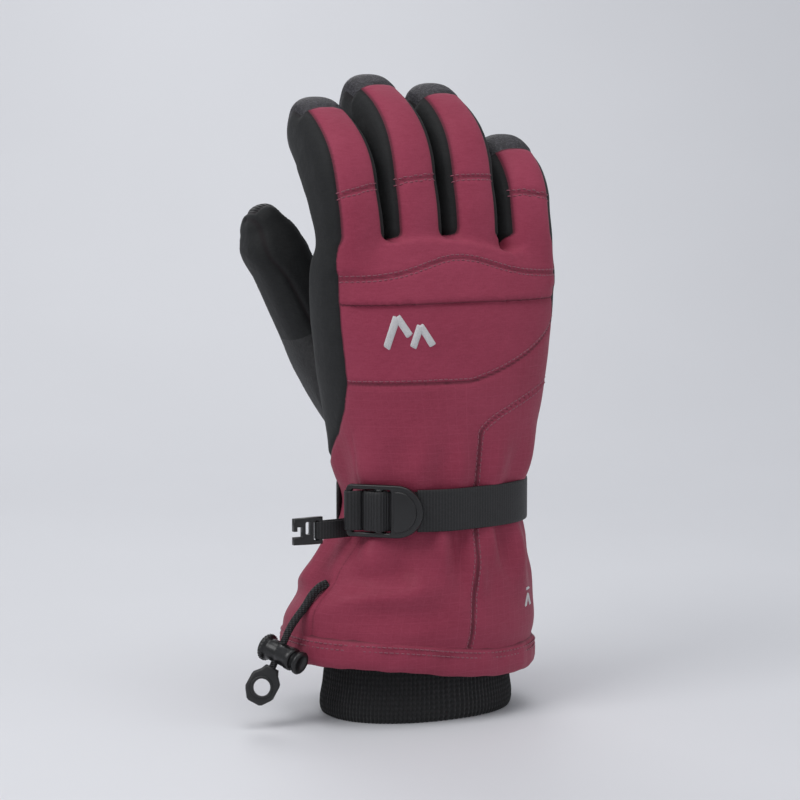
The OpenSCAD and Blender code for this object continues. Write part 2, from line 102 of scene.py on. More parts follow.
# %% Shader helper
class Socket:
    """A shader socket that works in expressions: adding, multiplying and so on add Math nodes."""

    def __init__(self, tree, out):
        self.tree = tree
        self.out = out

    def math(self, operation, *values):
        return self.tree.node("ShaderNodeMath", {"operation": operation}, list(values))

    def __add__(self, other):
        return self.math("ADD", self, other)

    __radd__ = __add__

    def __mul__(self, other):
        return self.math("MULTIPLY", self, other)

    __rmul__ = __mul__

    def __sub__(self, other):
        return self.math("SUBTRACT", self, other)

    def __rsub__(self, other):
        return self.math("SUBTRACT", other, self)

    def __truediv__(self, other):
        return self.math("DIVIDE", self, other)

    def __pow__(self, other):
        return self.math("POWER", self, other)

    def sin(self):
        return self.math("SINE", self)

    def abs(self):
        return self.math("ABSOLUTE", self)

    def clamp(self):
        return self.tree.node("ShaderNodeClamp", {}, [self, 0.0, 1.0])

    def ramp(self, low, high):
        """0 below low, 1 above high, and smooth between them."""
        return self.tree.node("ShaderNodeMapRange", {"interpolation_type": "SMOOTHSTEP"},
                              {"Value": self, "From Min": low, "From Max": high})


class Material:
    """A material under construction: one principled shader and the nodes that feed it."""

    def __init__(self, name, **fixed):
        self.data = bpy.data.materials.new(name)
        self.data.use_nodes = True
        self.nodes = self.data.node_tree.nodes
        self.links = self.data.node_tree.links
        self.shader = self.nodes["Principled BSDF"]
        for key, value in fixed.items():
            self.shader.inputs[key.replace("_", " ")].default_value = value

    def node(self, kind, settings, values=(), output=0):
        made = self.nodes.new(kind)
        for key, value in settings.items():
            setattr(made, key, value)
        pairs = values.items() if isinstance(values, dict) else enumerate(values)
        for key, value in pairs:
            if isinstance(value, Socket):
                self.links.new(value.out, made.inputs[key])
            else:
                made.inputs[key].default_value = value
        return Socket(self, made.outputs[output])

    def place(self):
        return self.node("ShaderNodeTexCoord", {}, output="Object")

    def attribute(self, name):
        return self.node("ShaderNodeAttribute", {"attribute_name": name}, output="Fac")

    def axes(self, vector):
        return [self.node("ShaderNodeSeparateXYZ", {}, [vector], output=k) for k in range(3)]

    def stretched(self, vector, scale):
        return self.node("ShaderNodeMapping", {}, {"Vector": vector, "Scale": scale})

    def noise(self, vector, scale, detail=3.0, roughness=0.5):
        return self.node("ShaderNodeTexNoise", {},
                         {"Vector": vector, "Scale": scale, "Detail": detail, "Roughness": roughness})

    def cells(self, vector, scale):
        return self.node("ShaderNodeTexVoronoi", {}, {"Vector": vector, "Scale": scale})

    def mix(self, factor, first, second):
        return self.node("ShaderNodeMix", {"data_type": "RGBA"},
                         {"Factor": factor, 6: first, 7: second}, output=2)

    def bump(self, height, depth, before=None):
        values = {"Height": height, "Distance": depth, "Strength": 1.0}
        if before is not None:
            values["Normal"] = before
        return self.node("ShaderNodeBump", {}, values)

    def feed(self, **sockets):
        for key, value in sockets.items():
            self.links.new(value.out, self.shader.inputs[key.replace("_", " ")])
        return self.data


def rgb(red, green, blue):
    """A colour given as it looks on a screen, 0 to 255, as the linear values that shaders use."""
    def linear(value):
        share = value / 255
        return share / 12.92 if share <= 0.04045 else ((share + 0.055) / 1.055) ** 2.4
    return (linear(red), linear(green), linear(blue), 1.0)


# %% Floor and lights
def floor_material():
    m = Material("pale_sweep", Roughness=0.6)
    cloud = m.noise(m.place(), 3.0)
    return m.feed(Base_Color=m.mix(cloud, rgb(214, 215, 219), rgb(222, 223, 227)))


SWEEP_FRONT = -2.5
SWEEP_BACK = 1.6
SWEEP_RISE = 0.9
floor_mesh = bpy.data.meshes.new("floor")
profile = [(SWEEP_FRONT, 0.0), (SWEEP_BACK - SWEEP_RISE, 0.0)]
for step in range(1, 13):
    angle = math.radians(90 * step / 12)
    depth = SWEEP_BACK - SWEEP_RISE + SWEEP_RISE * math.sin(angle)
    profile.append((depth, SWEEP_RISE * (1 - math.cos(angle))))
profile.append((SWEEP_BACK, 3.5))
sweep = [(side * 4.0, y, z) for y, z in profile for side in (-1, 1)]
sweep_faces = [(2 * k, 2 * k + 1, 2 * k + 3, 2 * k + 2) for k in range(len(profile) - 1)]
floor_mesh.from_pydata(sweep, [], sweep_faces)
floor_mesh.polygons.foreach_set("use_smooth", [True] * len(sweep_faces))
floor_mesh.transform(Matrix.Rotation(turn, 4, "Z"))
floor = bpy.data.objects.new("floor", floor_mesh)
bpy.context.scene.collection.objects.link(floor)
floor_mesh.materials.append(floor_material())


def softbox(name, azimuth, elevation, distance, size, power):
    """A square area light at an angle round the glove, facing its middle."""
    data = bpy.data.lights.new(name, "AREA")
    data.shape = "SQUARE"
    data.size = size
    data.energy = power
    lamp = bpy.data.objects.new(name, data)
    bpy.context.scene.collection.objects.link(lamp)
    a = math.radians(azimuth)
    e = math.radians(elevation)
    away = Vector((math.sin(a) * math.cos(e), -math.cos(a) * math.cos(e), math.sin(e)))
    lamp.location = AIM + distance * away
    lamp.rotation_euler = (AIM - lamp.location).to_track_quat("-Z", "Y").to_euler()
    return lamp


softbox("key", -75, 42, 1.6, 0.8, 9.0)
softbox("fill", 40, 20, 1.9, 1.2, 3.2)
softbox("top", -10, 78, 1.5, 0.9, 6.5)
softbox("rim", 165, 35, 1.6, 0.8, 4.0)
world = bpy.data.worlds.new("room")
world.use_nodes = True
world.node_tree.nodes["Background"].inputs["Color"].default_value = (0.86, 0.88, 0.92, 1)
world.node_tree.nodes["Background"].inputs["Strength"].default_value = 0.5
bpy.context.scene.world = world
bpy.context.scene.view_settings.view_transform = "Standard"
print("camera and lights in place")

# %% [markdown]
# ## The glove's form as a distance field
# A sewn glove has soft crotches and swelling knuckles that lofts pushed into each other can't give. So the
# outer form is described as a distance field: an oval that changes up the hand, four bent channels and the
# thumb, joined with a soft minimum. The fingers nearly touch, and a mesh made from a field would weld them.
# The field is therefore built with the fingers fanned apart, and the finished mesh is moved back together.

# %% Sections up the hand
# Height, middle in X and Y, half width, half depth and squareness, in millimetres.
HAND_X = joints["middle_knuckle"]["pos_m"][0] / MM + 15.5
HAND_Y = joints["middle_knuckle"]["pos_m"][1] / MM + 2
HALF_HEM = (high_mm("hem_band")[0] - low_mm("hem_band")[0]) / 2 - 0.8
SECTIONS = np.array([
    (10, -3, 2, HALF_HEM, 46, 2.2), (32, -3, 2, HALF_HEM, 46, 2.2), (60, 1, -1, HALF_HEM - 4.5, 42, 2.2),
    (80, 4, -4, 51.5, 37, 2.2), (92, 5.5, -5.5, 46.5, 33.5, 2.2), (106, HAND_X, HAND_Y, 46.5, 33.5, 2.2),
    (125, HAND_X, HAND_Y, 50, 35.5, 2.3), (163, HAND_X, HAND_Y, 58, 33.5, 2.4),
    (190, HAND_X, HAND_Y, 62, 30.5, 2.5), (203, HAND_X, HAND_Y, 63, 28, 2.6),
    (214, HAND_X, HAND_Y, 63, 25.5, 2.7), (226, HAND_X, HAND_Y, 61, 22, 2.8),
    (240, HAND_X, HAND_Y, 57, 18, 2.8)])
TABLE_Z = np.arange(0.0, 331.0)
SMOOTH = np.hanning(17) / np.hanning(17).sum()


def section(column, z):
    """One column of the sections at any height, with its corners rounded off."""
    values = np.interp(TABLE_Z, SECTIONS[:, 0], SECTIONS[:, column])
    padded = np.pad(values, 8, mode="edge")
    return np.interp(z, TABLE_Z, np.convolve(padded, SMOOTH, mode="valid"))


def smooth_step(low, high, value):
    share = np.clip((value - low) / (high - low), 0, 1)
    return share * share * (3 - 2 * share)


def oval_distance(x, y, a, b, n):
    """About how far a point is outside an oval with half axes a and b and squareness n."""
    size = np.sqrt(x * x + y * y) + 1e-6
    rho = (np.abs(x / a) ** n + np.abs(y / b) ** n) ** (1 / n) + 1e-6
    return size - size / rho


def soft_min(first, second, reach):
    low = np.minimum(first, second)
    return low - reach * np.log1p(np.exp(-np.abs(first - second) / reach))


# %% [markdown]
# ## Fingers
# Each finger bends in one plane, so its middle line is a curve in Y and Z only, and a point's place along
# it and beside it is looked up once for the whole plane. The curve starts upright at the knuckle, passes
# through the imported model's joint, and ends leaning well over towards the palm, as a pre-curved glove does.

# %% Middle lines of the fingers
# Per finger: lean outwards in degrees, and length from the knuckle joint to the tip.
LEAN = np.radians([-2.0, -0.5, 0.5, 2.0])
LENGTH = np.array([69.0, 83.0, 77.0, 54.0])
ROOT_TILT = 4.0
BASE_TILT = 15.0
END_TILT = 62.0
ROOT = np.array([np.array(joints[f + "_knuckle"]["pos_m"]) / MM for f in FINGERS])
BEND = np.array([np.array(joints[f + "_bend"]["pos_m"]) / MM for f in FINGERS])
HALF_W = 15.0
HALF_D = 16.0
TIP_R = 14.0
PITCH = ROOT[1, 0] - ROOT[0, 0]


def middle_line(finger):
    """Places along a finger's middle line in Y and Z, with their distance along it and direction."""
    w = np.arange(-30.0, LENGTH[finger] + 20.0, 0.5)
    to_bend = np.linalg.norm(BEND[finger] - ROOT[finger])
    stops = [-30, -8, to_bend * 0.5, to_bend + 4, to_bend + 22, LENGTH[finger] + 20]
    tilt = np.interp(w, stops, [0, ROOT_TILT, BASE_TILT, 38, END_TILT, END_TILT])
    window = np.hanning(25) / np.hanning(25).sum()
    tilt = np.radians(np.convolve(np.pad(tilt, 12, mode="edge"), window, "valid"))
    y = np.cumsum(np.sin(tilt)) * 0.5
    z = np.cumsum(np.cos(tilt)) * 0.5
    zero = np.argmin(np.abs(w))
    return w, ROOT[finger, 1] + y - y[zero], ROOT[finger, 2] + z - z[zero], tilt


def along_finger(finger, y, z):
    """How far along a finger and how far in front of its middle line each point of the YZ plane is."""
    w, line_y, line_z, tilt = middle_line(finger)
    flat_y = y.ravel()
    flat_z = z.ravel()
    best = np.zeros(len(flat_y), int)
    nearest = np.full(len(flat_y), np.inf)
    for k in range(0, len(w), 2):
        gap = (flat_y - line_y[k]) ** 2 + (flat_z - line_z[k]) ** 2
        closer = gap < nearest
        best[closer] = k
        nearest[closer] = gap[closer]
    dy = flat_y - line_y[best]
    dz = flat_z - line_z[best]
    beside = dy * np.cos(tilt[best]) - dz * np.sin(tilt[best])
    beyond = dy * np.sin(tilt[best]) + dz * np.cos(tilt[best])
    return (w[best] + beyond).reshape(y.shape), beside.reshape(y.shape)


def finger_x(finger, z):
    return ROOT[finger, 0] + np.tan(LEAN[finger]) * (z - ROOT[finger, 2])


def finger_halves(finger, w):
    """Half width and half depth along a finger: fuller at the middle joint and the pad, slimmer between."""
    to_bend = np.linalg.norm(BEND[finger] - ROOT[finger])
    swell = 0.7 * np.exp(-((w - to_bend) / 9.0) ** 2) - 0.5 * np.exp(-((w - to_bend * 0.45) / 8.0) ** 2)
    taper = smooth_step(to_bend, LENGTH[finger], w)
    wide = HALF_W + swell - 1.6 * taper
    deep = HALF_D + swell - 1.8 * taper
    return np.minimum(wide, HALF_W + 0.1), deep


# %% Spreading the fingers and bringing them back
CROTCH = np.array([229.0, 230.0, 223.0])
OPENED = 6.0


def openings(z):
    """How wide each of the three gaps between fingers is opened at a height."""
    return [OPENED * smooth_step(crotch - 11, crotch + 9, z) for crotch in CROTCH]


def shifts(z):
    o = openings(z)
    return [-o[1] / 2 - o[0], -o[1] / 2, o[1] / 2, o[1] / 2 + o[2]]


def bring_back(x, z):
    """The resting X of points of the spread form."""
    o = openings(z)
    moved = shifts(z)
    total = x - moved[0]
    for gap in range(3):
        left = finger_x(gap, z) + HALF_W + moved[gap]
        right = finger_x(gap + 1, z) - HALF_W + moved[gap + 1]
        total = total - o[gap] * np.clip((x - left) / (right - left), 0, 1)
    return total


# %% [markdown]
# ## Thumb
# The thumb swells out of the palm, leans out to the side and ends in front of the index finger's root. Its
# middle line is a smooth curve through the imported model's two thumb joints.

# %% Middle line of the thumb
SWING = np.array(joints["thumb_swing"]["pos_m"]) / MM
THUMB_BEND = np.array(joints["thumb_bend"]["pos_m"]) / MM
THUMB_DIR = (THUMB_BEND - SWING) / np.linalg.norm(THUMB_BEND - SWING)
THUMB_POINTS = np.array([
    SWING + (26, -34, -58), SWING + (17, -14, -34), SWING + (8, -2, -16), SWING + (0, 2, 0),
    THUMB_BEND + (0, 3, 0), THUMB_BEND + 13 * THUMB_DIR + (-3, 4.5, 0),
    THUMB_BEND + 27 * THUMB_DIR + (-6, 7, 0)])
THUMB_HALVES = np.array([(17, 15), (19.5, 18), (18, 17), (16.2, 16), (14.6, 15.4), (12.2, 14.6), (8.8, 13)])


def smooth_curve(points, steps):
    """A Catmull-Rom curve through points, with steps places on each stretch."""
    p = np.vstack([2 * points[0] - points[1], points, 2 * points[-1] - points[-2]])
    t = np.linspace(0, 1, steps, endpoint=False)[:, None]
    parts = [0.5 * (2 * b + (c - a) * t + (2 * a - 5 * b + 4 * c - d) * t ** 2
                    + (3 * b - a - 3 * c + d) * t ** 3) for a, b, c, d in zip(p, p[1:], p[2:], p[3:])]
    return np.vstack(parts + [points[-1:]])


thumb_line = smooth_curve(THUMB_POINTS, 10)
thumb_halves = smooth_curve(THUMB_HALVES.astype(float), 10)
thumb_steps = np.linalg.norm(np.diff(thumb_line, axis=0), axis=1)
thumb_w = np.concatenate([[0], np.cumsum(thumb_steps)])
thumb_way = np.gradient(thumb_line, axis=0)
thumb_way /= np.linalg.norm(thumb_way, axis=1)[:, None]
thumb_p = np.cross((0, 1, 0), thumb_way)
thumb_p /= np.linalg.norm(thumb_p, axis=1)[:, None]
thumb_q = np.cross(thumb_way, thumb_p)
THUMB_LENGTH = thumb_w[-1]


def along_thumb(points):
    """Distance along the thumb, and the two offsets from its middle line, for each point."""
    best = np.zeros(len(points), int)
    nearest = np.full(len(points), np.inf)
    for k in range(len(thumb_line)):
        gap = ((points - thumb_line[k]) ** 2).sum(1)
        closer = gap < nearest
        best[closer] = k
        nearest[closer] = gap[closer]
    off = points - thumb_line[best]
    w = thumb_w[best] + (off * thumb_way[best]).sum(1)
    return w, (off * thumb_p[best]).sum(1), (off * thumb_q[best]).sum(1), best


THUMB_SQUARE = 2.7
DOME_SQUARE = 2.4
THUMB_DOME = 9.5


def thumb_distance(points):
    w, p, q, best = along_thumb(points)
    a = thumb_halves[best, 0]
    b = thumb_halves[best, 1]
    beyond = np.maximum(w - THUMB_LENGTH, 0)
    across = (np.abs(p / a) ** THUMB_SQUARE + np.abs(q / b) ** THUMB_SQUARE) ** (DOME_SQUARE / THUMB_SQUARE)
    rho = (across + (beyond / THUMB_DOME) ** DOME_SQUARE) ** (1 / DOME_SQUARE) + 1e-6
    size = np.sqrt(p * p + q * q + beyond * beyond) + 1e-6
    return size - size / rho


# %% [markdown]
# ## Folds
# The strap gathers the gauntlet, so folds run up and down from it and die out within a few centimetres. The
# yoke over the knuckles is a padded tube with a deep pleat under it. These are added to the field's
# distance, which moves the surface in or out, and slow noise makes the cloth uneven.

# %% Folds of the cloth
STRAP_Z = (low_mm("wrist_strap")[2] + high_mm("wrist_strap")[2]) / 2
PLEAT_Z = low_mm("knuckle_yoke")[2]
HEM_Z = high_mm("hem_band")[2]


def waves(x, y, z, scale, seed):
    """A cheap smooth noise: a sum of sines in turned directions, the same on every run."""
    made = np.random.default_rng(seed)
    total = 0.0
    for size in (1.0, 1.7, 2.9):
        way = made.normal(size=3)
        way /= np.linalg.norm(way)
        other = made.normal(size=3)
        other /= np.linalg.norm(other)
        phase = made.uniform(0, 6.28, 2)
        reach = scale / size
        bend = np.sin((x * other[0] + y * other[1] + z * other[2]) / reach * 1.3 + phase[1])
        total = total + np.sin((x * way[0] + y * way[1] + z * way[2]) / reach + phase[0] + 1.4 * bend) / size
    return total / 2


def folds(x, y, z):
    """How far the cloth stands out from the plain form, in millimetres."""
    angle = np.arctan2(y - HAND_Y, x - HAND_X)
    below = np.clip((STRAP_Z - z) / 60, -1, 1)
    under = np.exp(-(((z - (STRAP_Z - 20)) / 17) ** 2)) * (z < STRAP_Z + 5)
    over = np.exp(-(((z - (STRAP_Z + 18)) / 13) ** 2)) * (z > STRAP_Z - 5)
    drift = 0.25 * np.sin(z / 19) + 0.35 * below
    gather = np.sin(9 * angle + 3 * drift + 1.1) + 0.6 * np.sin(16 * angle - 5 * drift)
    deep = 2.3 * under * gather + 1.5 * over * np.sin(11 * angle - 4 * drift + 0.6)
    pinch = -1.9 * np.exp(-(((z - STRAP_Z) / 9.5) ** 2))
    roll = -0.5 * np.exp(-(((z - HEM_Z) / 3.0) ** 2))
    thumb_side = smooth_step(-0.15, -0.75, np.cos(angle))
    slump = 2.2 * thumb_side * np.sin((z + 0.5 * y) / 5.2) * np.exp(-(((z - 58) / 20) ** 2))
    slow = 0.9 * waves(x, y, z, 21, 3) * (1 - smooth_step(120, 235, z)) + slump
    belly = 1.2 * np.exp(-(((z - HEM_Z - 9) / 9) ** 2))
    slow = slow + belly
    return deep + pinch + roll + slow


def hem_lift(x, y, z):
    """How much higher the thumb side of the hem sits."""
    angle = np.arctan2(y - 2, x + 3)
    return 9 * smooth_step(-0.75, 1.05, -np.cos(angle)) * (1 - smooth_step(HEM_Z + 5, HEM_Z + 48, z))


# %% Fill the field
STEP = 1.15
GRID_LOW = np.array([-92.0, -46.0, 30.6])
GRID_HIGH = np.array([90.0, 62.0, 318.0])
axis_x, axis_y, axis_z = [np.arange(a, b, STEP) for a, b in zip(GRID_LOW, GRID_HIGH)]
grid_y, grid_z = np.meshgrid(axis_y, axis_z, indexing="ij")
X = axis_x[:, None, None]
Y = axis_y[None, :, None]
Z = axis_z[None, None, :]


def body_distance(x, y, z):
    """Distance to the hand and gauntlet without the digits."""
    dx = x - section(1, z)
    dy = y - section(2, z)
    return oval_distance(dx, dy, section(3, z), section(4, z), section(5, z))


def finger_distance(finger, x, w, q):
    wide, deep = finger_halves(finger, w)
    straight = LENGTH[finger] - TIP_R
    beyond = np.maximum(w - straight, 0)
    flesh = smooth_step(-10, 14, w) * (1 - smooth_step(straight - 14, LENGTH[finger], w))
    deep = deep + np.where(q > 0, 5.0 * flesh, 0)
    wide = wide + np.where(x < 0, 1.6 * flesh, 0) * (finger == 0)
    rho = ((np.abs(x / wide) ** 2.6 + np.abs(q / deep) ** 2.6) ** (2.2 / 2.6)
           + (beyond / TIP_R) ** 2.2) ** (1 / 2.2) + 1e-6
    size = np.sqrt(x * x + q * q + beyond * beyond) + 1e-6
    inside = size - size / rho
    return np.where(w < -24, np.maximum(inside, -24 - w), inside)


def glove_field():
    moved = shifts(Z)
    tops = np.interp(X, HAND_X + PITCH * np.array([-1, 0, 1]), CROTCH)
    field = np.maximum(body_distance(X, Y, Z), (Z - tops + 0.5) * 0.9)
    for finger in range(4):
        w, q = along_finger(finger, grid_y, grid_z)
        local = X - finger_x(finger, Z) - moved[finger]
        digit = finger_distance(finger, local, w[None], q[None])
        field = soft_min(field, digit, 1.5)
    near = (axis_x < SWING[0] + 55)
    tall = (axis_z > SWING[2] - 75) & (axis_z < SWING[2] + 95)
    block = np.stack(np.meshgrid(axis_x[near], axis_y, axis_z[tall], indexing="ij"), -1)
    shape = block.shape[:3]
    thumb = thumb_distance(block.reshape(-1, 3)).reshape(shape)
    part = np.ix_(near, np.ones(len(axis_y), bool), tall)
    field[part] = soft_min(field[part], thumb, 2.2)
    return field - folds(X, Y, Z)


def surface_nets(field):
    """A quad mesh of the field's zero surface, one point in each cell that the surface crosses."""
    inside = field < 0
    nx, ny, nz = np.array(inside.shape) - 1
    counts = sum(inside[i:nx + i, j:ny + j, k:nz + k].astype(int)
                 for i in (0, 1) for j in (0, 1) for k in (0, 1))
    active = (counts > 0) & (counts < 8)
    cells = np.argwhere(active)
    index = np.full(active.shape, -1)
    index[active] = np.arange(len(cells))
    total = np.zeros((len(cells), 3))
    hits = np.zeros(len(cells))
    corners = [(i, j, k) for i in (0, 1) for j in (0, 1) for k in (0, 1)]
    for a in corners:
        for axis in range(3):
            if a[axis]:
                continue
            b = tuple(v + (n == axis) for n, v in enumerate(a))
            fa = field[cells[:, 0] + a[0], cells[:, 1] + a[1], cells[:, 2] + a[2]]
            fb = field[cells[:, 0] + b[0], cells[:, 1] + b[1], cells[:, 2] + b[2]]
            cross = (fa < 0) != (fb < 0)
            share = np.where(cross, fa / np.where(cross, fa - fb, 1), 0)
            place = np.array(a) + share[:, None] * (np.array(b) - np.array(a))
            total[cross] += place[cross]
            hits[cross] += 1
    points = GRID_LOW + STEP * (cells + total / hits[:, None])
    quads = []
    for axis in range(3):
        u, v = (axis + 1) % 3, (axis + 2) % 3
        low = [slice(None)] * 3
        high = [slice(None)] * 3
        low[axis] = slice(0, -1)
        high[axis] = slice(1, None)
        changed = inside[tuple(low)] != inside[tuple(high)]
        edges = np.argwhere(changed)
        edges = edges[(edges[:, u] > 0) & (edges[:, v] > 0)
                      & (edges[:, u] < inside.shape[u] - 1) & (edges[:, v] < inside.shape[v] - 1)]
        ring = []
        for du, dv in ((-1, -1), (0, -1), (0, 0), (-1, 0)):
            at = edges.copy()
            at[:, u] += du
            at[:, v] += dv
            ring.append(index[at[:, 0], at[:, 1], at[:, 2]])
        quad = np.stack(ring, 1)
        out = inside[edges[:, 0], edges[:, 1], edges[:, 2]]
        quad[~out] = quad[~out][:, ::-1]
        quads.append(quad[(quad >= 0).all(1)])
    return points, np.vstack(quads)


points, quads = surface_nets(glove_field())
print("glove form:", len(points), "points,", len(quads), "quads")

# %% [markdown]
# ## Seams as zero lines
# Every seam is the zero line of a number that changes smoothly over the surface, roughly a distance in
# millimetres. One number can both cut the mesh along its zero line and press a groove beside it, so panels
# meet exactly, with no gap and no overlap.

# %% Where each point of the surface is
CROSS_SEAM = np.array([10.0, 14.0, 15.0, 14.0])
CROSS_SLOPE = np.array([0.2, 0.1, 0.0, -0.08])
SPLIT_Z = np.array([230.3, 230.6, 230.6, 223.6])
LOW_BACK_Z = (high_mm("gauntlet_back")[2])
THUMB_SEAM_Z = low_mm("palm_panel")[2]


def section_angle(x, y, z):
    """The angle round the body in degrees: 0 is +X, 90 the palm, 180 the thumb side, 270 the back."""
    n = section(5, z)
    dx = (x - section(1, z)) / section(3, z)
    dy = (y - section(2, z)) / section(4, z)
    c = np.sign(dx) * np.abs(dx) ** (n / 2)
    s = np.sign(dy) * np.abs(dy) ** (n / 2)
    return np.degrees(np.arctan2(s, c)) % 360


def finger_places(x, y, z):
    """The nearest finger of each point, and its w, p and q there."""
    centres = np.stack([finger_x(f, z) for f in range(4)])
    nearest = np.abs(centres - x).argmin(0)
    w = np.zeros(len(x))
    q = np.zeros(len(x))
    for f in range(4):
        mine = nearest == f
        w[mine], q[mine] = along_finger(f, y[mine], z[mine])
    return nearest, w, x - centres[nearest, np.arange(len(x))], q


def low_back_line(u):
    """Height of the seam at the foot of the back panel: level, then rising towards the little finger."""
    return LOW_BACK_Z + 25 * np.clip((u - 271) / 64, 0, 1.2) ** 1.15


def arch_line(x):
    """Height of the double seam over the knuckles."""
    return 212 + 9 * np.exp(-(((x - HAND_X - 1) / 26) ** 2))


def side_seam_line(z):
    """Angle of the long seam down the gauntlet, which curves off to the little-finger side."""
    return 276 + 62 * np.clip((z - 137) / 24, 0, 1) ** 1.9


def seam_fields(x, y, z, spread):
    """Every seam's number at each point, plus the coordinates that the fabrics use.

    The thumb was built in the spread form, so its numbers come from the points as they were there.
    """
    u = section_angle(x, y, z)
    turned = np.where(u > 180, u - 360, u)
    finger, w, p, q = finger_places(x, y, z)
    width = section(3, z)
    left = 180 + np.interp(z, [122, 128, 137, 150, 163, 200, 235], [-18, -12, 0, 14, 22, 25, 28])
    right = np.interp(z, [124, 137, 163, 200, 235], [22, 6, -10, -25, -27])
    palm_side = np.where(u > 180, left - u, np.minimum(left - u, turned - right)) * 0.92
    palm_side = np.where(u > 270, turned - right, palm_side)
    hand = np.minimum(palm_side, z - THUMB_SEAM_Z)
    to_line = PITCH / 2 - np.abs(p)
    crotch = np.where(p > 0, np.append(CROTCH, 400)[finger], np.insert(CROTCH, 0, 400)[finger])
    wedge = 4.5 - np.hypot(to_line, np.minimum(z - (crotch + 5.0), 0))
    outer = (p > 0) & (finger == 3) | (p < 0) & (finger == 0)
    narrow = 1.3 * smooth_step(20, 60, w)
    back = np.where(outer, np.abs(p) - 11, wedge) + narrow
    digit = np.where(q < 0, back, np.maximum(back, 4 + q))
    mix = smooth_step(219, 232, z)
    side = hand * (1 - mix) + digit * mix
    tip = LENGTH[finger]
    start = tip - 20 - 9 * smooth_step(-6, 9, q)
    cap = np.minimum(w - start, 12.6 - np.abs(p) + 0.05 * np.abs(q))
    cap = np.where(z > 232, cap, -20.0)
    flat = np.stack([x, y, z], 1)
    _, thumb_across, thumb_deep, _ = along_thumb(spread)
    thumb_gap = thumb_distance(spread)
    proj = (flat - SWING) @ THUMB_DIR
    body = body_distance(x, y, z)
    thumb = np.minimum(np.minimum(proj - 1, body - 1.6), 5 - thumb_gap)
    thumb = np.where((z < 275) & (x < SWING[0] + 26), thumb, -20.0)
    is_thumb = thumb > 0
    side = np.where((thumb_gap < 4) & (body > 1.0) & (z > THUMB_SEAM_Z + 8) & (y > -2), 12.0, side)
    return {
        "side": side, "cap": np.where(is_thumb, -20.0, cap), "thumb": thumb, "thumb_half": proj - 22,
        "grip": np.minimum(thumb_across - 4 + 0.1 * proj, 9 - np.abs(thumb_deep - 2)),
        "low_back": z - low_back_line(u), "pleat": z - PLEAT_Z - 0.8 * np.cos(np.radians((u - 270) * 1.2)),
        "arch": z - arch_line(x), "finger_up": z - SPLIT_Z[finger], "finger": finger.astype(float),
        "cross": w - CROSS_SEAM[finger] - CROSS_SLOPE[finger] * p,
        "side_seam": (u - side_seam_line(z)) * 0.9 * width / 60, "left_seam": (u - 196) * 0.9,
        "palm": np.minimum(u - 52, 138 - u) * 0.9, "u": u, "turned": turned,
        "thumb_p": thumb_across, "thumb_q": thumb_deep,
    }


# %% Bring the fingers together and press the seams in
plain = points.copy()
plain[:, 0] = bring_back(points[:, 0], points[:, 2])
fields = seam_fields(*plain.T, points)
tris = np.vstack([quads[:, [0, 1, 2]], quads[:, [0, 2, 3]]])


def vertex_normals(place, faces):
    cross = np.cross(place[faces[:, 1]] - place[faces[:, 0]], place[faces[:, 2]] - place[faces[:, 0]])
    normal = np.zeros_like(place)
    for k in range(3):
        np.add.at(normal, faces[:, k], cross)
    return normal / (np.linalg.norm(normal, axis=1)[:, None] + 1e-12)


def smoothed(place, faces, rounds):
    """The mesh after a few rounds of moving each point halfway to the middle of its neighbours."""
    for _ in range(rounds):
        total = np.zeros_like(place)
        count = np.zeros(len(place))
        for a, b in ((0, 1), (1, 2), (2, 0)):
            np.add.at(total, faces[:, a], place[faces[:, b]])
            np.add.at(total, faces[:, b], place[faces[:, a]])
            np.add.at(count, faces[:, a], 1)
            np.add.at(count, faces[:, b], 1)
        place = 0.5 * place + 0.5 * total / count[:, None]
    return place


def groove(name, where=True, width=1.5):
    return np.where(where, np.exp(-((fields[name] / width) ** 2)), 0)


def seam_lines():
    """How close each point is to a seam: 1 on it and 0 a few millimetres away."""
    red = fields["side"] < 0
    z = plain[:, 2]
    on_body = (z < 222) & (fields["thumb"] < 0)
    on_thumb = fields["thumb"] > 0
    edge = np.where(fields["thumb_q"] < 2, fields["thumb_p"] + 6, 20)
    edge = np.minimum(np.abs(edge), np.abs(fields["grip"]))
    lines = [groove("side", fields["cap"] < 0.5), groove("cap", z > 232, 1.2),
             groove("low_back", red & (z > 150) & (z < 200), 1.1) * (fields["u"] > 190),
             groove("pleat", red & on_body, 1.0), 0.8 * groove("arch", red & (z < 232), 1.2),
             0.8 * groove("cross", red & (z > 235), 1.1),
             groove("side_seam", red & (z < 162) & (fields["low_back"] < 0), 1.1),
             0.7 * groove("left_seam", red & (z < 140), 1.2), groove("palm", ~red & on_body, 1.0),
             np.where(on_thumb, np.exp(-((edge / 1.3) ** 2)), 0)]
    return np.maximum.reduce(lines)


def pressed_seams():
    """How far each point moves outwards: grooves at the seams, swelling between them, and the pleat."""
    red = fields["side"] < 0
    z = plain[:, 2]
    on_body = (z < 222) & (fields["thumb"] < 0)
    high = fields["pleat"] > 0
    pressed = -1.0 * fields["seam"]
    yoke = red & on_body & high
    band = np.exp(-np.maximum(fields["pleat"], 0) / 7.5)
    swell = 1.9 * yoke * band * (fields["arch"] < 4)
    under = red & on_body & ~high & (z > 180)
    sunk = -0.9 * under * np.exp(fields["pleat"] / 4.5)
    fade = smooth_step(-14, -3, fields["side"])
    return pressed + (swell + sunk) * (1 - 0.75 * fade)


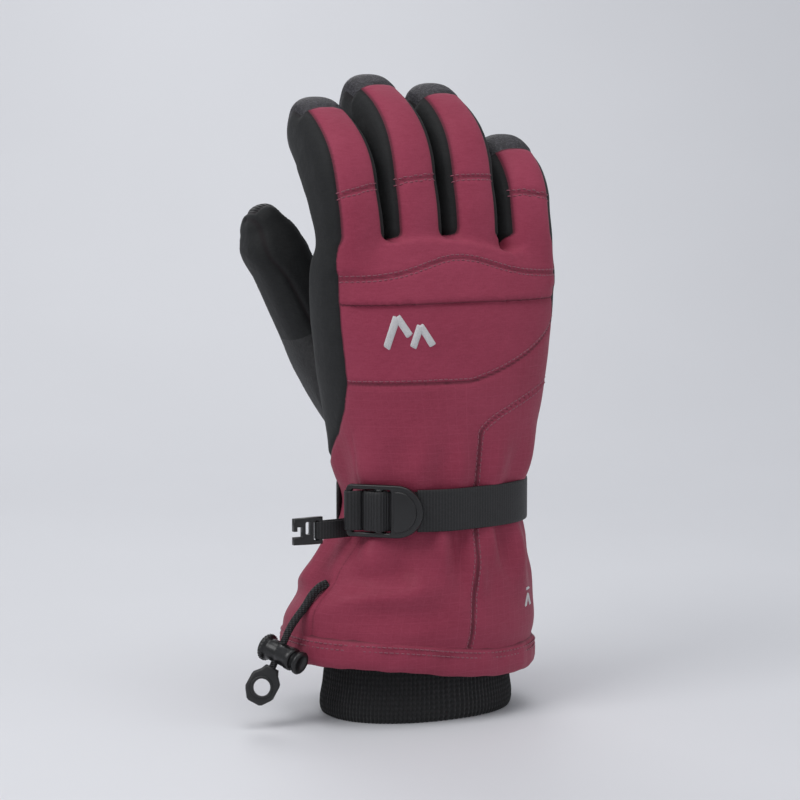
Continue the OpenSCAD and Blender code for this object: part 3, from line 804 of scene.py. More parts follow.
fields["seam"] = seam_lines()
normals = vertex_normals(plain, tris)
place = plain + normals * pressed_seams()[:, None]
lap = (fields["side"] < 0) & (plain[:, 2] < 222) & (fields["pleat"] > 0)
drop = 1.7 * np.exp(-np.maximum(fields["pleat"], 0) / 3.2) * (1 - smooth_step(-8, -1, fields["side"]))
place[:, 2] -= np.where(lap, drop, 0)
place[:, 2] += hem_lift(*place.T)
place = smoothed(place, tris, 1)
normals = vertex_normals(place, tris)
print("seams pressed in:", len(place), "points")

# %% [markdown]
# ## Cutting the panels
# The mesh is cut along a field by splitting every triangle that the zero line crosses. The pieces keep the
# normals of the whole, so a cut with no groove, such as the one where a finger starts to bend, can't be
# seen.

# %% Cut a mesh along a field
NAMES = list(fields)
whole = {"data": np.hstack([place, normals, np.stack([fields[k] for k in NAMES], 1)]), "tris": tris}


def field_of(mesh, name):
    return mesh["data"][:, 6 + NAMES.index(name)]


def compact(data, faces):
    used, inverse = np.unique(faces, return_inverse=True)
    return {"data": data[used], "tris": inverse.reshape(-1, 3)}


def cut(mesh, name, at=0.0):
    """The parts of a mesh below and above a field's value."""
    value = field_of(mesh, name) - at
    value = np.where(np.abs(value) < 1e-5, 1e-5, value)
    above = value > 0
    faces = mesh["tris"]
    count = above[faces].sum(1)
    mixed = faces[(count > 0) & (count < 3)]
    lone = np.where(above[mixed].sum(1) == 1, above[mixed].argmax(1), (~above[mixed]).argmax(1))
    rows = np.arange(len(mixed))
    a, b, c = [mixed[rows, (lone + k) % 3] for k in range(3)]
    pairs = np.sort(np.vstack([np.stack([a, b], 1), np.stack([a, c], 1)]), axis=1)
    if not len(pairs):
        return compact(mesh["data"], faces[count == 0]), compact(mesh["data"], faces[count == 3])
    edges, inverse = np.unique(pairs, axis=0, return_inverse=True)
    share = value[edges[:, 0]] / (value[edges[:, 0]] - value[edges[:, 1]])
    ends = mesh["data"]
    new = ends[edges[:, 0]] + share[:, None] * (ends[edges[:, 1]] - ends[edges[:, 0]])
    data = np.vstack([ends, new])
    inverse = inverse.reshape(-1) + len(ends)
    ab, ac = inverse[:len(mixed)], inverse[len(mixed):]
    small = np.stack([a, ab, ac], 1)
    large = np.vstack([np.stack([ab, b, c], 1), np.stack([ab, c, ac], 1)])
    top = above[a]
    twice = np.concatenate([top, top])
    low = np.vstack([faces[count == 0], small[~top], large[twice]])
    high = np.vstack([faces[count == 3], small[top], large[~twice]])
    return compact(data, low), compact(data, high)


def only(mesh, keep):
    """The triangles whose three points all pass a test."""
    return compact(mesh["data"], mesh["tris"][keep[mesh["tris"]].all(1)])


def put(name, mesh_data, material):
    obj = bpy.data.objects.new(name, mesh_data)
    bpy.context.scene.collection.objects.link(obj)
    mesh_data.materials.append(material)
    return obj


def panel(name, mesh, material, thick=1.1):
    """A cut panel as a closed piece of cloth: the outer face, an inner face and a rim."""
    data = mesh["data"]
    faces = mesh["tris"]
    outer = data[:, :3]
    normal = data[:, 3:6] / (np.linalg.norm(data[:, 3:6], axis=1)[:, None] + 1e-12)
    n = len(outer)
    sides = np.vstack([faces[:, [0, 1]], faces[:, [1, 2]], faces[:, [2, 0]]])
    keys = np.sort(sides, axis=1)
    _, first, counts = np.unique(keys, axis=0, return_index=True, return_counts=True)
    rim = sides[first[counts == 1]]
    strip = np.vstack([np.stack([rim[:, 0], rim[:, 0] + n, rim[:, 1] + n], 1),
                       np.stack([rim[:, 0], rim[:, 1] + n, rim[:, 1]], 1)])
    points_m = np.vstack([outer, outer - normal * thick]) * MM
    all_faces = np.vstack([faces, faces[:, ::-1] + n, strip])
    made = bpy.data.meshes.new(name)
    made.vertices.add(len(points_m))
    made.vertices.foreach_set("co", points_m.ravel())
    made.loops.add(len(all_faces) * 3)
    made.loops.foreach_set("vertex_index", all_faces.ravel().astype(np.int32))
    made.polygons.add(len(all_faces))
    made.polygons.foreach_set("loop_start", np.arange(0, len(all_faces) * 3, 3, dtype=np.int32))
    made.polygons.foreach_set("use_smooth", np.ones(len(all_faces), bool))
    made.update()
    # round carries the angle round the body. crease_shade carries how near a seam each point is, and the
    # shell material uses it as painted shade in the seam grooves.
    for key, column in (("round", "u"), ("crease_shade", "seam")):
        layer = made.attributes.new(key, "FLOAT", "POINT")
        values = data[:, 6 + NAMES.index(column)]
        layer.data.foreach_set("value", np.concatenate([values, values]).astype(np.float32))
    made.normals_split_custom_set_from_vertices(np.vstack([normal, -normal]).tolist())
    return put(name, made, material)


def joined(*meshes):
    """Several cut parts as one mesh."""
    shift = np.cumsum([0] + [len(m["data"]) for m in meshes[:-1]])
    return {"data": np.vstack([m["data"] for m in meshes]),
            "tris": np.vstack([m["tris"] + s for m, s in zip(meshes, shift)])}


# %% [markdown]
# ## Fabrics
# The red shell is a smooth softshell with a slight heather, and the gauntlet has a faint ripstop grid.
# Black parts are a stretch softshell and a fine-grained leather, and the fingertip caps are a rough,
# speckled grain. Each is a few noises on a principled shader, read from the object's own coordinates.

# %% Cloth materials
def softshell(name, dark, light, rough, weave=0.00012, grid=0.0, ribs=0.0):
    """Woven shell fabric: slow tone changes, fine weave, if asked a ripstop grid, and painted shade in the
    seam grooves.
    """
    m = Material(name, Specular_IOR_Level=0.25, Sheen_Weight=0.05, Sheen_Roughness=0.5)
    at = m.place()
    slow = m.noise(at, 22.0, 3.0)
    fine = m.noise(at, 1500.0, 2.0)
    streak = m.noise(m.stretched(at, (260.0, 260.0, 1900.0)), 1.0, 2.0)
    shade = (slow * 0.5 + fine * 0.28 + streak * 0.32).clamp()
    height = fine * 0.6 + streak * 0.4
    if grid:
        x, y, z = m.axes(at)
        rows = (z * (math.pi / 0.0042)).sin().abs()
        cols = (m.attribute("round") * 0.78).sin().abs()
        line = 1 - (rows.ramp(0.0, 0.16) * cols.ramp(0.0, 0.16))
        height = height + line * grid
        shade = (shade + line * 0.16).clamp()
    if ribs:
        x, y, z = m.axes(at)
        wave_up = (z * 3900.0 + x * 2300.0).sin() * 0.5 + 0.5
        height = height + wave_up * 3.0 * ribs
        shade = (shade * 0.5 + wave_up * 0.45).clamp()
    colour = m.mix(shade.ramp(0.25, 0.85), dark, light)
    # Painted shade: the cloth darkens towards red-black where crease_shade is high, in the seam grooves and
    # at the hem's top seam and rolled edge.
    colour = m.mix(m.attribute("crease_shade").ramp(0.35, 1.0) * 0.6, colour, rgb(22, 12, 16))
    wave = m.bump(m.noise(at, 95.0, 3.0), 0.0007)
    return m.feed(Base_Color=colour, Roughness=slow * 0.12 + rough, Normal=m.bump(height, weave, wave))


def leather(name, dark, light, size, depth, rough, specks=0.0):
    """Grained leather: small cells with soft valleys, and pale specks where the grain noise is high."""
    m = Material(name, Specular_IOR_Level=0.45)
    at = m.place()
    cell = m.cells(at, size)
    grain = m.noise(at, size * 0.5, 4.0, 0.6)
    height = cell * 0.8 + grain * 0.5
    shade = (grain * 0.8 + cell * 0.3).clamp()
    colour = m.mix(shade.ramp(0.3, 0.8), dark, light)
    if specks:
        # Pale specks near cell middles, where the grain noise is high.
        pale_specks = m.cells(at, size * 1.7).ramp(0.34, 0.12) * grain.ramp(0.45, 0.7) * specks
        colour = m.mix(pale_specks, colour, rgb(150, 146, 152))
    return m.feed(Base_Color=colour, Roughness=grain * 0.2 + rough, Normal=m.bump(height, depth))


RED = softshell("red_softshell", rgb(134, 43, 66), rgb(156, 62, 86), 0.6)
RED_RIPSTOP = softshell("red_ripstop", rgb(131, 42, 64), rgb(152, 60, 83), 0.56, grid=0.3)
BLACK = softshell("black_softshell", rgb(22, 23, 24), rgb(38, 39, 40), 0.66)
GRIP = softshell("ribbed_grip", rgb(12, 12, 13), rgb(40, 40, 42), 0.5, grid=0.0, ribs=1.0)
PALM = leather("palm_leather", rgb(24, 24, 25), rgb(42, 42, 43), 900.0, 0.0002, 0.5)
CAP = leather("cap_leather", rgb(27, 26, 29), rgb(60, 58, 64), 1100.0, 0.00035, 0.5, specks=0.6)
print("cloth materials made")

# %% [markdown]
# ## Sewing plan
# The panels are named as a pattern cutter would name them. A panel that crosses a joint is cut there.

# %% Panels of the hand and gauntlet
rest, thumb_mesh = cut(whole, "thumb")
hand_mesh, digits_mesh = cut(rest, "finger_up")
red_hand, black_hand = cut(hand_mesh, "side")
red_gauntlet, red_upper = cut(red_hand, "low_back")
back_mesh, red_top = cut(red_upper, "pleat")
yoke_mesh, knuckle_mesh = cut(red_top, "arch")
back_half, palm_half = cut(red_gauntlet, "turned")
left_half, side_mesh = cut(back_half, "side_seam")
left_strip, gauntlet_mesh = cut(left_half, "left_seam")
side_black, palm_mesh = cut(black_hand, "palm")

hand_panels = [
    ("back_of_hand", back_mesh, RED, "red_shell", ["back_panel"]),
    ("padded_yoke", yoke_mesh, RED, "red_shell", ["knuckle_yoke"]),
    ("knuckle_cover", knuckle_mesh, RED, "red_shell", ["knuckle_panel"]),
    ("gauntlet_back_cloth", gauntlet_mesh, RED_RIPSTOP, "red_shell", ["gauntlet_back"]),
    ("gauntlet_side_cloth", side_mesh, RED_RIPSTOP, "red_shell", ["gauntlet_side"]),
    ("gauntlet_palm_cloth", joined(palm_half, left_strip), RED_RIPSTOP, "red_shell", ["gauntlet_palm"]),
    ("hand_side_cloth", side_black, BLACK, "black_shell", ["side_panel", "hand_insulation", "finger_gussets",
                                                           "gusset_padding"]),
    ("palm_skin", palm_mesh, PALM, "palm_leather", ["palm_panel", "thumb_root"]),
]
for name, mesh, material, slot_name, nodes in hand_panels:
    piece = panel(name, mesh, material)
    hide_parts(*nodes)
    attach(piece, "hand")
print("hand panels:", len(hand_panels))


# %% Panels of the fingers
def finger_parts(f):
    mine = only(digits_mesh, np.abs(field_of(digits_mesh, "finger") - f) < 0.3)
    low, up = cut(mine, "cross")
    stretch, cap = cut(up, "cap")
    low_back, low_sides = cut(low, "side")
    up_back, up_sides = cut(stretch, "side")
    return low_back, low_sides, up_back, up_sides, cap


def axis_points(at, lean, tilt, start, end):
    """Two points on a line through a joint, in metres."""
    way = np.array([math.sin(lean) * math.cos(tilt), math.sin(tilt), math.cos(lean) * math.cos(tilt)])
    return (at + way * start) * MM, (at + way * end) * MM


for f, finger_name in enumerate(FINGERS):
    low_back, low_sides, up_back, up_sides, cap_mesh = finger_parts(f)
    to_bend = np.linalg.norm(BEND[f] - ROOT[f])
    seam = CROSS_SEAM[f]
    knuckle = axis_points(ROOT[f], LEAN[f], math.radians(10), SPLIT_Z[f] - ROOT[f, 2] + 3.2, seam - 1.2)
    bend = axis_points(BEND[f], LEAN[f], math.radians(31), seam - to_bend + 5, seam - to_bend + 20)
    base, tip = finger_name + "_base", finger_name + "_tip"
    plan = [
        ("lower_back", low_back, RED, "red_shell", "hand", base, knuckle, ["base_back"]),
        ("lower_sides", low_sides, BLACK, "black_shell", "hand", base, knuckle,
         ["base_sides", "base_padding"]),
        ("upper_back", up_back, RED, "red_shell", base, tip, bend, ["tip_back"]),
        ("upper_sides", up_sides, BLACK, "black_shell", base, tip, bend, ["tip_sides", "tip_padding"]),
        ("tip_grip", cap_mesh, CAP, "cap_grain", base, tip, bend, ["tip_cap"]),
    ]
    for part, mesh, material, slot_name, first, second, ends, nodes in plan:
        piece = panel(finger_name + "_" + part, mesh, material)
        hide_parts(*[finger_name + "_" + node for node in nodes])
        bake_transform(piece)
print("finger panels: 20")

# %% Panels of the thumb
thumb_low, thumb_high = cut(thumb_mesh, "thumb_half")
thumb_ends = [[(SWING + THUMB_DIR * d) * MM for d in pair] for pair in ((2, 21.5), (22.5, 36))]
thumb_plan = [("lower", thumb_low, "hand", "thumb_base", thumb_ends[0], ["thumb_base_shell"]),
              ("upper", thumb_high, "thumb_base", "thumb_tip", thumb_ends[1],
               ["thumb_tip_shell", "thumb_padding"])]
for part, mesh, first, second, ends, nodes in thumb_plan:
    smooth_side, grip_side = cut(mesh, "grip")
    piece = panel("thumb_" + part, smooth_side, BLACK)
    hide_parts(*nodes)
    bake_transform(piece)
    patch = panel("thumb_grip_" + part, grip_side, GRIP)
    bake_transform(patch)
print("thumb panels: 4")

# %% [markdown]
# ## Hem, lining and knitted cuff
# These are tubes. Each is a stack of rings, and a ring is a list of points at even angles round the
# section, so one function turns any profile into a closed piece. The hem's profile goes down outside, rolls
# under and comes up inside. The knit is a real ripple in the rings: 130 ribs that a smooth tube can't fake
# at its edge.

# %% Tubes from rings
def body_ring(z, inset, angles):
    """Points round the body section at a height, moved in from the surface."""
    c, s = np.cos(angles), np.sin(angles)
    n = section(5, z)
    x = section(1, z) + (section(3, z) - inset) * np.sign(c) * np.abs(c) ** (2 / n)
    y = section(2, z) + (section(4, z) - inset) * np.sign(s) * np.abs(s) ** (2 / n)
    return np.stack([x, y, np.full(len(angles), float(z))], 1)


def tube(name, rings, material, ends=False, crease_shade=None):
    """A mesh through rings of equal length. The first ring is joined to the last unless the tube has ends."""
    rows, cols = len(rings), len(rings[0])
    points_m = np.vstack(rings) * MM
    spans = rows - 1 if ends else rows
    j, k = np.meshgrid(np.arange(spans), np.arange(cols), indexing="ij")
    a = (j * cols + k).ravel()
    b = (j * cols + (k + 1) % cols).ravel()
    c = (((j + 1) % rows) * cols + (k + 1) % cols).ravel()
    d = (((j + 1) % rows) * cols + k).ravel()
    faces = np.stack([a, b, c, d], 1).tolist()
    if ends:
        faces.append(list(range(cols))[::-1])
        faces.append([(rows - 1) * cols + n for n in range(cols)])
    made = bpy.data.meshes.new(name)
    made.from_pydata(points_m.tolist(), [], faces)
    made.polygons.foreach_set("use_smooth", [True] * len(faces))
    # crease_shade is painted shade for each ring, which the shell material darkens by. It is 0 unless given.
    for key, values in (("round", np.tile(np.degrees(np.arange(cols) * math.tau / cols), rows)),
                        ("crease_shade", np.zeros(rows * cols) if crease_shade is None else np.repeat(crease_shade, cols))):
        layer = made.attributes.new(key, "FLOAT", "POINT")
        layer.data.foreach_set("value", values.astype(np.float32))
    edit = bmesh.new()
    edit.from_mesh(made)
    bmesh.ops.recalc_face_normals(edit, faces=edit.faces)
    edit.to_mesh(made)
    edit.free()
    return put(name, made, material)


# %% Hem band
around = np.linspace(0, math.tau, 360, endpoint=False)
HEM_LOW = low_mm("hem_band")[2]
# Each row is height, inset and painted shade. The shade darkens the band at its top seam and round its rolled
# lower edge.
hem_profile = [(HEM_Z + 2.2, 1.2, 0.0), (HEM_Z + 0.4, 0.6, 1.0), (HEM_Z - 0.6, -0.5, 0.6),
               (HEM_Z - 2.5, -1.1, 0.0), (HEM_Z - 6, -1.5, 0.0),
               (HEM_LOW + 4, -1.4, 0.0), (HEM_LOW + 1.6, -0.9, 0.1),
               (HEM_LOW + 0.3, 0.1, 0.3), (HEM_LOW, 1.2, 0.5), (HEM_LOW + 0.8, 2.3, 0.3),
               (HEM_LOW + 5, 2.8, 0.0), (HEM_Z + 2, 2.9, 0.0), (HEM_Z + 3, 2.2, 0.0)]
hem_rings = []
for z, inset, _ in hem_profile:
    ring = body_ring(z, inset, around)
    ripple = 0.35 * np.sin(13 * around + 0.5) + 0.3 * np.sin(29 * around + 2) + 0.4 * np.sin(5 * around + 1)
    ring[:, 2] += 0.5 * ripple * (z < HEM_Z - 1)
    share = 0.6 if inset < 1 else 0.1
    ring[:, :2] += (ripple * share)[:, None] * np.stack([np.cos(around), np.sin(around)], 1)
    ring[:, 2] += hem_lift(*ring.T)
    hem_rings.append(ring)
# The painted shade of each ring.
hem_crease_shade = np.array([crease_shade for _, _, crease_shade in hem_profile])
hem = tube("hem_cloth", hem_rings[::-1], RED_RIPSTOP, crease_shade=hem_crease_shade[::-1])
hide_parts("hem_band")
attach(hem, "hand")


# %% Linings
def lining_material():
    m = Material("brushed_lining", Roughness=0.85, Sheen_Weight=0.3)
    fleece = m.noise(m.place(), 420.0, 4.0, 0.7)
    colour = m.mix(fleece.ramp(0.3, 0.75), rgb(38, 38, 42), rgb(62, 62, 67))
    return m.feed(Base_Color=colour, Normal=m.bump(fleece, 0.0006))


def knit_material():
    m = Material("ribbed_knit", Roughness=0.88, Sheen_Weight=0.12)
    at = m.place()
    x, y, z = m.axes(at)
    loops = (z * 2600.0 + (m.attribute("round") * 2.27).sin() * 0.8).sin()
    fuzz = m.noise(at, 900.0, 3.0)
    height = loops * 0.35 + fuzz
    colour = m.mix((fuzz * 0.7 + loops * 0.12).ramp(0.2, 0.7), rgb(17, 17, 18), rgb(35, 35, 37))
    return m.feed(Base_Color=colour, Normal=m.bump(height, 0.00025))


LINING = lining_material()
KNIT = knit_material()
WRIST_Z = high_mm("gauntlet_lining")[2]
lining_ring = [body_ring(z, t, around[::3]) for z, t in
               [(HEM_LOW + 3, 2.9), (HEM_LOW + 3, 3.2), (60, 7.4), (85, 8.0), (WRIST_Z, 8.2), (WRIST_Z, 7.4),
                (85, 7.2), (60, 6.4), (HEM_Z + 4, 3.6), (HEM_Z, 2.4)]]
for ring in lining_ring:
    ring[:, 2] += hem_lift(*ring.T)
skirt_lining = tube("skirt_lining", lining_ring[::-1], LINING)
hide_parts("gauntlet_lining")
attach(skirt_lining, "hand")
hand_low = [(WRIST_Z - 16, 9.6), (125, 7.0), (163, 6.4), (195, 6.4), (210, 7), (219, 9), (223, 14)]
hand_ring = [body_ring(z, t, around[::3]) for z, t in hand_low]
hand_ring += [body_ring(z + 1, t - 1.2, around[::3]) for z, t in hand_low[::-1]]
hand_lining = tube("hand_lining_cloth", hand_ring, LINING)
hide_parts("hand_lining")
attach(hand_lining, "hand")

# %% Knitted cuff
CUFF_A, CUFF_B = 48.0, 35.0
knit_round = np.linspace(0, math.tau, 130 * 6, endpoint=False)
rib = 0.32 * np.cos(130 * knit_round)


def cuff_ring(z, inset, ripple):
    """A ring of the knitted cuff: its own oval below, and the wrist's section above."""
    c, s = np.cos(knit_round), np.sin(knit_round)
    low = min(z / 60, 1)
    sag = 0.8 * math.exp(-((z - 7) / 6) ** 2)
    a, b = CUFF_A - 4 * low + sag - inset, CUFF_B - 4 * low + sag - inset
    x = low + (a + ripple) * np.sign(c) * np.abs(c) ** (2 / 2.2)
    y = -low + (b + ripple) * np.sign(s) * np.abs(s) ** (2 / 2.2)
    own = np.stack([x, y, np.full(len(c), float(z))], 1)
    if z <= 60:
        return own
    share = min((z - 60) / 26, 1)
    return own * (1 - share) + body_ring(z, 10.0 + inset, knit_round) * share


outside = [(z, 0) for z in (88, 60, 46, 34, 24, 14, 8, 4)] + [(1.8, 0.3), (0.5, 0.9), (0.02, 1.6)]
inside = [(0.4, 2.3), (1.6, 2.8), (6, 3.0), (20, 3.0), (40, 3.0), (60, 3.0), (88, 2.0), (WRIST_Z, 1.2)]
cuff_rings = [cuff_ring(z, t, rib) for z, t in outside] + [cuff_ring(z, t, rib * 0.6) for z, t in inside]
cuff = tube("knitted_cuff", cuff_rings, KNIT)
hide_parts("storm_cuff")
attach(cuff, "hand")
print("hem, linings and cuff made")

# %% [markdown]
# ## Webbing
# Webbing is a flat strip swept along a path. Its ribs run across the strap, so the strip is cut finely
# along the path and every other row is raised. The same function makes the strap, its folded tail, the loop
# round the buckle's bar and the clip's tab.

# %% Webbing strips
def webbing_material():
    m = Material("ribbed_webbing", Roughness=0.55, Specular_IOR_Level=0.4)
    at = m.place()
    thread = m.noise(at, 1300.0, 3.0)
    colour = m.mix((thread * 0.5 + m.attribute("rib") * 0.6 - 0.1).clamp(), rgb(8, 8, 9), rgb(48, 48, 50))
    return m.feed(Base_Color=colour, Normal=m.bump(thread, 0.0002))


WEBBING = webbing_material()
RIB_PITCH = 1.5


def resampled(path, step):
    path = np.asarray(path, float)
    lengths = np.concatenate([[0], np.cumsum(np.linalg.norm(np.diff(path, axis=0), axis=1))])
    wanted = np.arange(0, lengths[-1] + step / 2, step)
    return np.stack([np.interp(wanted, lengths, path[:, k]) for k in range(3)], 1)


def strip(name, path, width, thick, up, slot_name="webbing", rib_height=0.36):
    """Webbing of a width and thickness along a path. up is the direction of its width at every point."""
    line = resampled(path, RIB_PITCH / 4)
    way = np.gradient(line, axis=0)
    way /= np.linalg.norm(way, axis=1)[:, None]
    up = np.asarray(up, float) / np.linalg.norm(up)
    out = np.cross(way, up)
    out /= np.linalg.norm(out, axis=1)[:, None]
    wave = 0.5 + 0.5 * np.cos(np.arange(len(line)) * math.pi / 2)
    edge = [(1, 0.55), (0.97, 0.9), (0.86, 1), (0.4, 1)]
    across = [(-a, b) for a, b in edge] + [(0, 1)] + edge[::-1]
    loop = across + [(a, -b) for a, b in across[::-1]]
    rings = []
    for n, place in enumerate(line):
        raised = rib_height * wave[n]
        ring = [place + up * (a * width / 2) + out[n] * (b * (thick / 2 - 0.1) + (raised if b > 0.95 else 0))
                for a, b in loop]
        rings.append(np.array(ring))
    obj = tube(name, rings, WEBBING, ends=True)
    layer = obj.data.attributes.new("rib", "FLOAT", "POINT")
    layer.data.foreach_set("value", np.repeat(wave, len(loop)).astype(np.float32))
    return obj


def round_wrist(start, end, lift, z=STRAP_Z, count=90):
    """A path round the wrist between two angles in degrees, a little above the pinched cloth."""
    angles = np.radians(np.linspace(start, end, count))
    return body_ring(z, -lift, angles)


STRAP_W = high_mm("wrist_strap")[2] - low_mm("wrist_strap")[2]
over_tail = 0.7 + 1.7 * (1 - smooth_step(264, 276, np.linspace(522, 241, 90)))
strap = strip("wrist_webbing", round_wrist(522, 241, over_tail), STRAP_W, 1.8, (0, 0, 1))
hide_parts("wrist_strap")
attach(strap, "hand")
print("wrist strap made")

# %% [markdown]
# ## Buckle and clip
# Moulded parts are flat outlines with holes, so each is drawn as a filled curve with an extrusion and a
# bevel and then turned into a mesh. The bevel rounds every edge, also inside the windows, in one step.

# %% Moulded plates
def plastic(name, shade, rough):
    m = Material(name, Specular_IOR_Level=0.5)
    haze = m.noise(m.place(), 160.0, 3.0)
    colour = m.mix(haze, rgb(shade - 4, shade - 4, shade - 3), rgb(shade + 6, shade + 6, shade + 8))
    return m.feed(Base_Color=colour, Roughness=haze * 0.14 + rough, Normal=m.bump(haze, 0.00004))


BUCKLE_PLASTIC = plastic("moulded_black", 20, 0.26)
END_PLASTIC = plastic("cord_end_grey", 28, 0.36)


def rounded(x0, y0, x1, y1, r, steps=6):
    """A rounded rectangle as a list of points."""
    corners = [(x1 - r, y1 - r, 0), (x0 + r, y1 - r, 90), (x0 + r, y0 + r, 180), (x1 - r, y0 + r, 270)]
    return [(cx + r * math.cos(t), cy + r * math.sin(t)) for cx, cy, a in corners
            for t in (math.radians(a + 90 * k / steps) for k in range(steps + 1))]


def plate(name, outlines, thick, bevel, frame_matrix, material):
    """A flat moulded plate with holes. The outlines are in the plate's plane, and the matrix places it."""
    data = bpy.data.curves.new(name, "CURVE")
    data.dimensions = "2D"
    data.fill_mode = "BOTH"
    data.extrude = thick / 2 - bevel
    data.bevel_depth = bevel
    data.bevel_resolution = 3
    data.offset = -bevel
    for outline in outlines:
        spline = data.splines.new("POLY")
        spline.points.add(len(outline) - 1)
        for point, (x, y) in zip(spline.points, outline):
            point.co = (x, y, 0, 1)
        spline.use_cyclic_u = True
    holder = bpy.data.objects.new(name + "_curve", data)
    bpy.context.scene.collection.objects.link(holder)
    bpy.context.view_layer.update()
    made = bpy.data.meshes.new_from_object(holder.evaluated_get(bpy.context.evaluated_depsgraph_get()))
    bpy.data.objects.remove(holder)
    made.transform(frame_matrix)
    made.transform(Matrix.Scale(MM, 4))
    made.name = name
    made.materials.clear()
    edit = bmesh.new()
    edit.from_mesh(made)
    bmesh.ops.remove_doubles(edit, verts=edit.verts, dist=1e-6)
    bmesh.ops.recalc_face_normals(edit, faces=edit.faces)
    edit.to_mesh(made)
    edit.free()
    made.shade_smooth()
    return put(name, made, material)


def merge(first, *others):
    """Several meshes as one piece, for features moulded on a part."""
    edit = bmesh.new()
    for obj in (first,) + others:
        edit.from_mesh(obj.data)
    edit.to_mesh(first.data)
    edit.free()
    for obj in others:
        bpy.data.objects.remove(obj)
    return first


# %% Buckle
bar = Vector(joints["buckle_tilt"]["pos_m"]) / MM
BUCKLE_TURN = math.radians(-44)
BUCKLE = (Matrix.Translation((bar.x, bar.y, bar.z)) @ Matrix.Rotation(BUCKLE_TURN, 4, "Z")
          @ Matrix.Translation((12, 0, 0)) @ Matrix.Rotation(math.radians(90), 4, "X"))
buckle_h = high_mm("buckle")[2] - low_mm("buckle")[2]
half_h = buckle_h / 2
arc = [(11 + (half_h + 0.6) * math.cos(t), half_h * math.sin(t)) for t in np.radians(range(-90, 91, 5))]
outline = [(-13.4, half_h - 2), (-12.6, half_h - 0.6), (-11.4, half_h), (11, half_h)]
frame_outline = outline + arc[::-1][1:] + [(x, -y) for x, y in outline[::-1]]
windows = [rounded(-10.6, -10.2, 1.2, 10.2, 1.2), rounded(4.4, -10.2, 8.6, 10.2, 1.2)]
buckle = plate("ladder_buckle", [frame_outline] + windows, 3.0, 0.7, BUCKLE, BUCKLE_PLASTIC)
lip = [(12 + 9.4 * math.cos(t), 9.8 * math.sin(t)) for t in np.radians(range(-90, 91, 6))]
lip += [(10.2, 9.6), (10.2, -9.6)]
raised = plate("buckle_lip", [lip], 1.6, 0.6, BUCKLE @ Matrix.Translation((0, 0, 1.5)), BUCKLE_PLASTIC)
bar_plate = plate("buckle_bar", [rounded(1.3, -10.6, 4.3, 10.6, 1.0)], 2.2, 0.8,
                  BUCKLE @ Matrix.Translation((0, 0, 1.1)), BUCKLE_PLASTIC)
buckle = merge(buckle, raised, bar_plate)
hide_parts("buckle")
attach(buckle, "buckle")


def in_buckle(points_2d):
    """Points given along the strap and outwards in the buckle's frame, at the strap's height."""
    spot = Matrix.Translation((bar.x, bar.y, bar.z)) @ Matrix.Rotation(BUCKLE_TURN, 4, "Z")
    return [tuple(spot @ Vector((x + 12, -out, 0))) for x, out in points_2d]


fold_points = [(9.5, -2.6), (6.2, 0.2), (4.6, 2.2), (2.8, 3.4), (0.2, 2.6), (-3.4, 1.5), (-4.6, -0.6),
               (-3.0, -2.6), (1.5, -3.0), (5.5, -3.4)]
fold_path = smooth_curve(np.array(in_buckle(fold_points)), 8)
fold = strip("buckle_webbing", fold_path[::-1], STRAP_W - 1.2, 1.5, (0, 0, 1))
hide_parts("strap_fold")
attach(fold, "buckle")
loop_points = [(-5.2, -5.0), (-5.6, -2.4), (-6.4, -0.2), (-9.2, 1.7), (-12, 2.7), (-13.7, 1.0),
               (-13.9, -1.4), (-13.6, -5.2)]
loop_path = smooth_curve(np.array(in_buckle(loop_points)), 8)
anchor = strip("anchor_webbing", loop_path, STRAP_W - 1.2, 1.5, (0, 0, 1))
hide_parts("strap_anchor")
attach(anchor, "hand")
tail = strip("strap_tail_webbing", round_wrist(266, 231, 0.5), STRAP_W - 0.6, 1.5, (0, 0, 1))
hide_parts("strap_tail")
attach(tail, "hand")

# %% Clip
pin = Vector(joints["clip_swing"]["pos_m"]) / MM
CLIP = Matrix.Translation(pin) @ Matrix.Rotation(math.pi, 4, "Z") @ Matrix.Rotation(math.radians(90), 4, "X")
CLIP = CLIP @ Matrix.Translation((0.8, 0, 0))
hook = [(-2, -6.5), (4, -6.5), (13, -6.2), (13, -2.6), (8.6, -2.6), (8.6, 2.2), (11.2, 2.2), (11.2, 0.2),
        (13, 0.2), (13, 6.3), (4, 6.5), (-2, 6.5)]
clip_windows = [rounded(0.2, -4.6, 2.6, 4.6, 0.8), rounded(4.4, -1.6, 6.9, 4.4, 0.7)]
clip = plate("hook_clip", [hook] + clip_windows, 3.2, 0.6, CLIP, BUCKLE_PLASTIC)
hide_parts("glove_clip")
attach(clip, "clip")
tab_z = pin.z
tab_path = smooth_curve(np.array([(pin.x + 17, pin.y + 3.0, tab_z), (pin.x + 8, pin.y + 2.4, tab_z),
                                  (pin.x + 2, pin.y + 1.9, tab_z), (pin.x - 1.4, pin.y + 1.4, tab_z),
                                  (pin.x - 1.9, pin.y, tab_z), (pin.x - 1.4, pin.y - 1.4, tab_z),
                                  (pin.x + 2, pin.y - 1.9, tab_z), (pin.x + 8, pin.y - 2.0, tab_z),
                                  (pin.x + 16, pin.y - 1.0, tab_z)]), 8)
tab = strip("clip_webbing", tab_path[::-1], 8.4, 1.0, (0, 0, 1), rib_height=0.12)
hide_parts("clip_tab")
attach(tab, "hand")
print("buckle and clip made")

# %% [markdown]
# ## Drawcord, lock and end
# The hem is tightened by a doubled elastic. It comes out of a slit above the clip, hangs through a barrel
# lock and ends in a chunky grip with a round hole.

# %% Cord
def elastic_material():
    m = Material("braided_elastic", Roughness=0.7)
    at = m.place()
    x, y, z = m.axes(at)
    braid = (z * 3300.0 + x * 1900.0).sin() * (z * 3300.0 - x * 1900.0).sin()
    colour = m.mix(braid.ramp(-0.6, 0.8), rgb(13, 13, 14), rgb(50, 50, 53))
    return m.feed(Base_Color=colour, Normal=m.bump(braid, 0.0003))


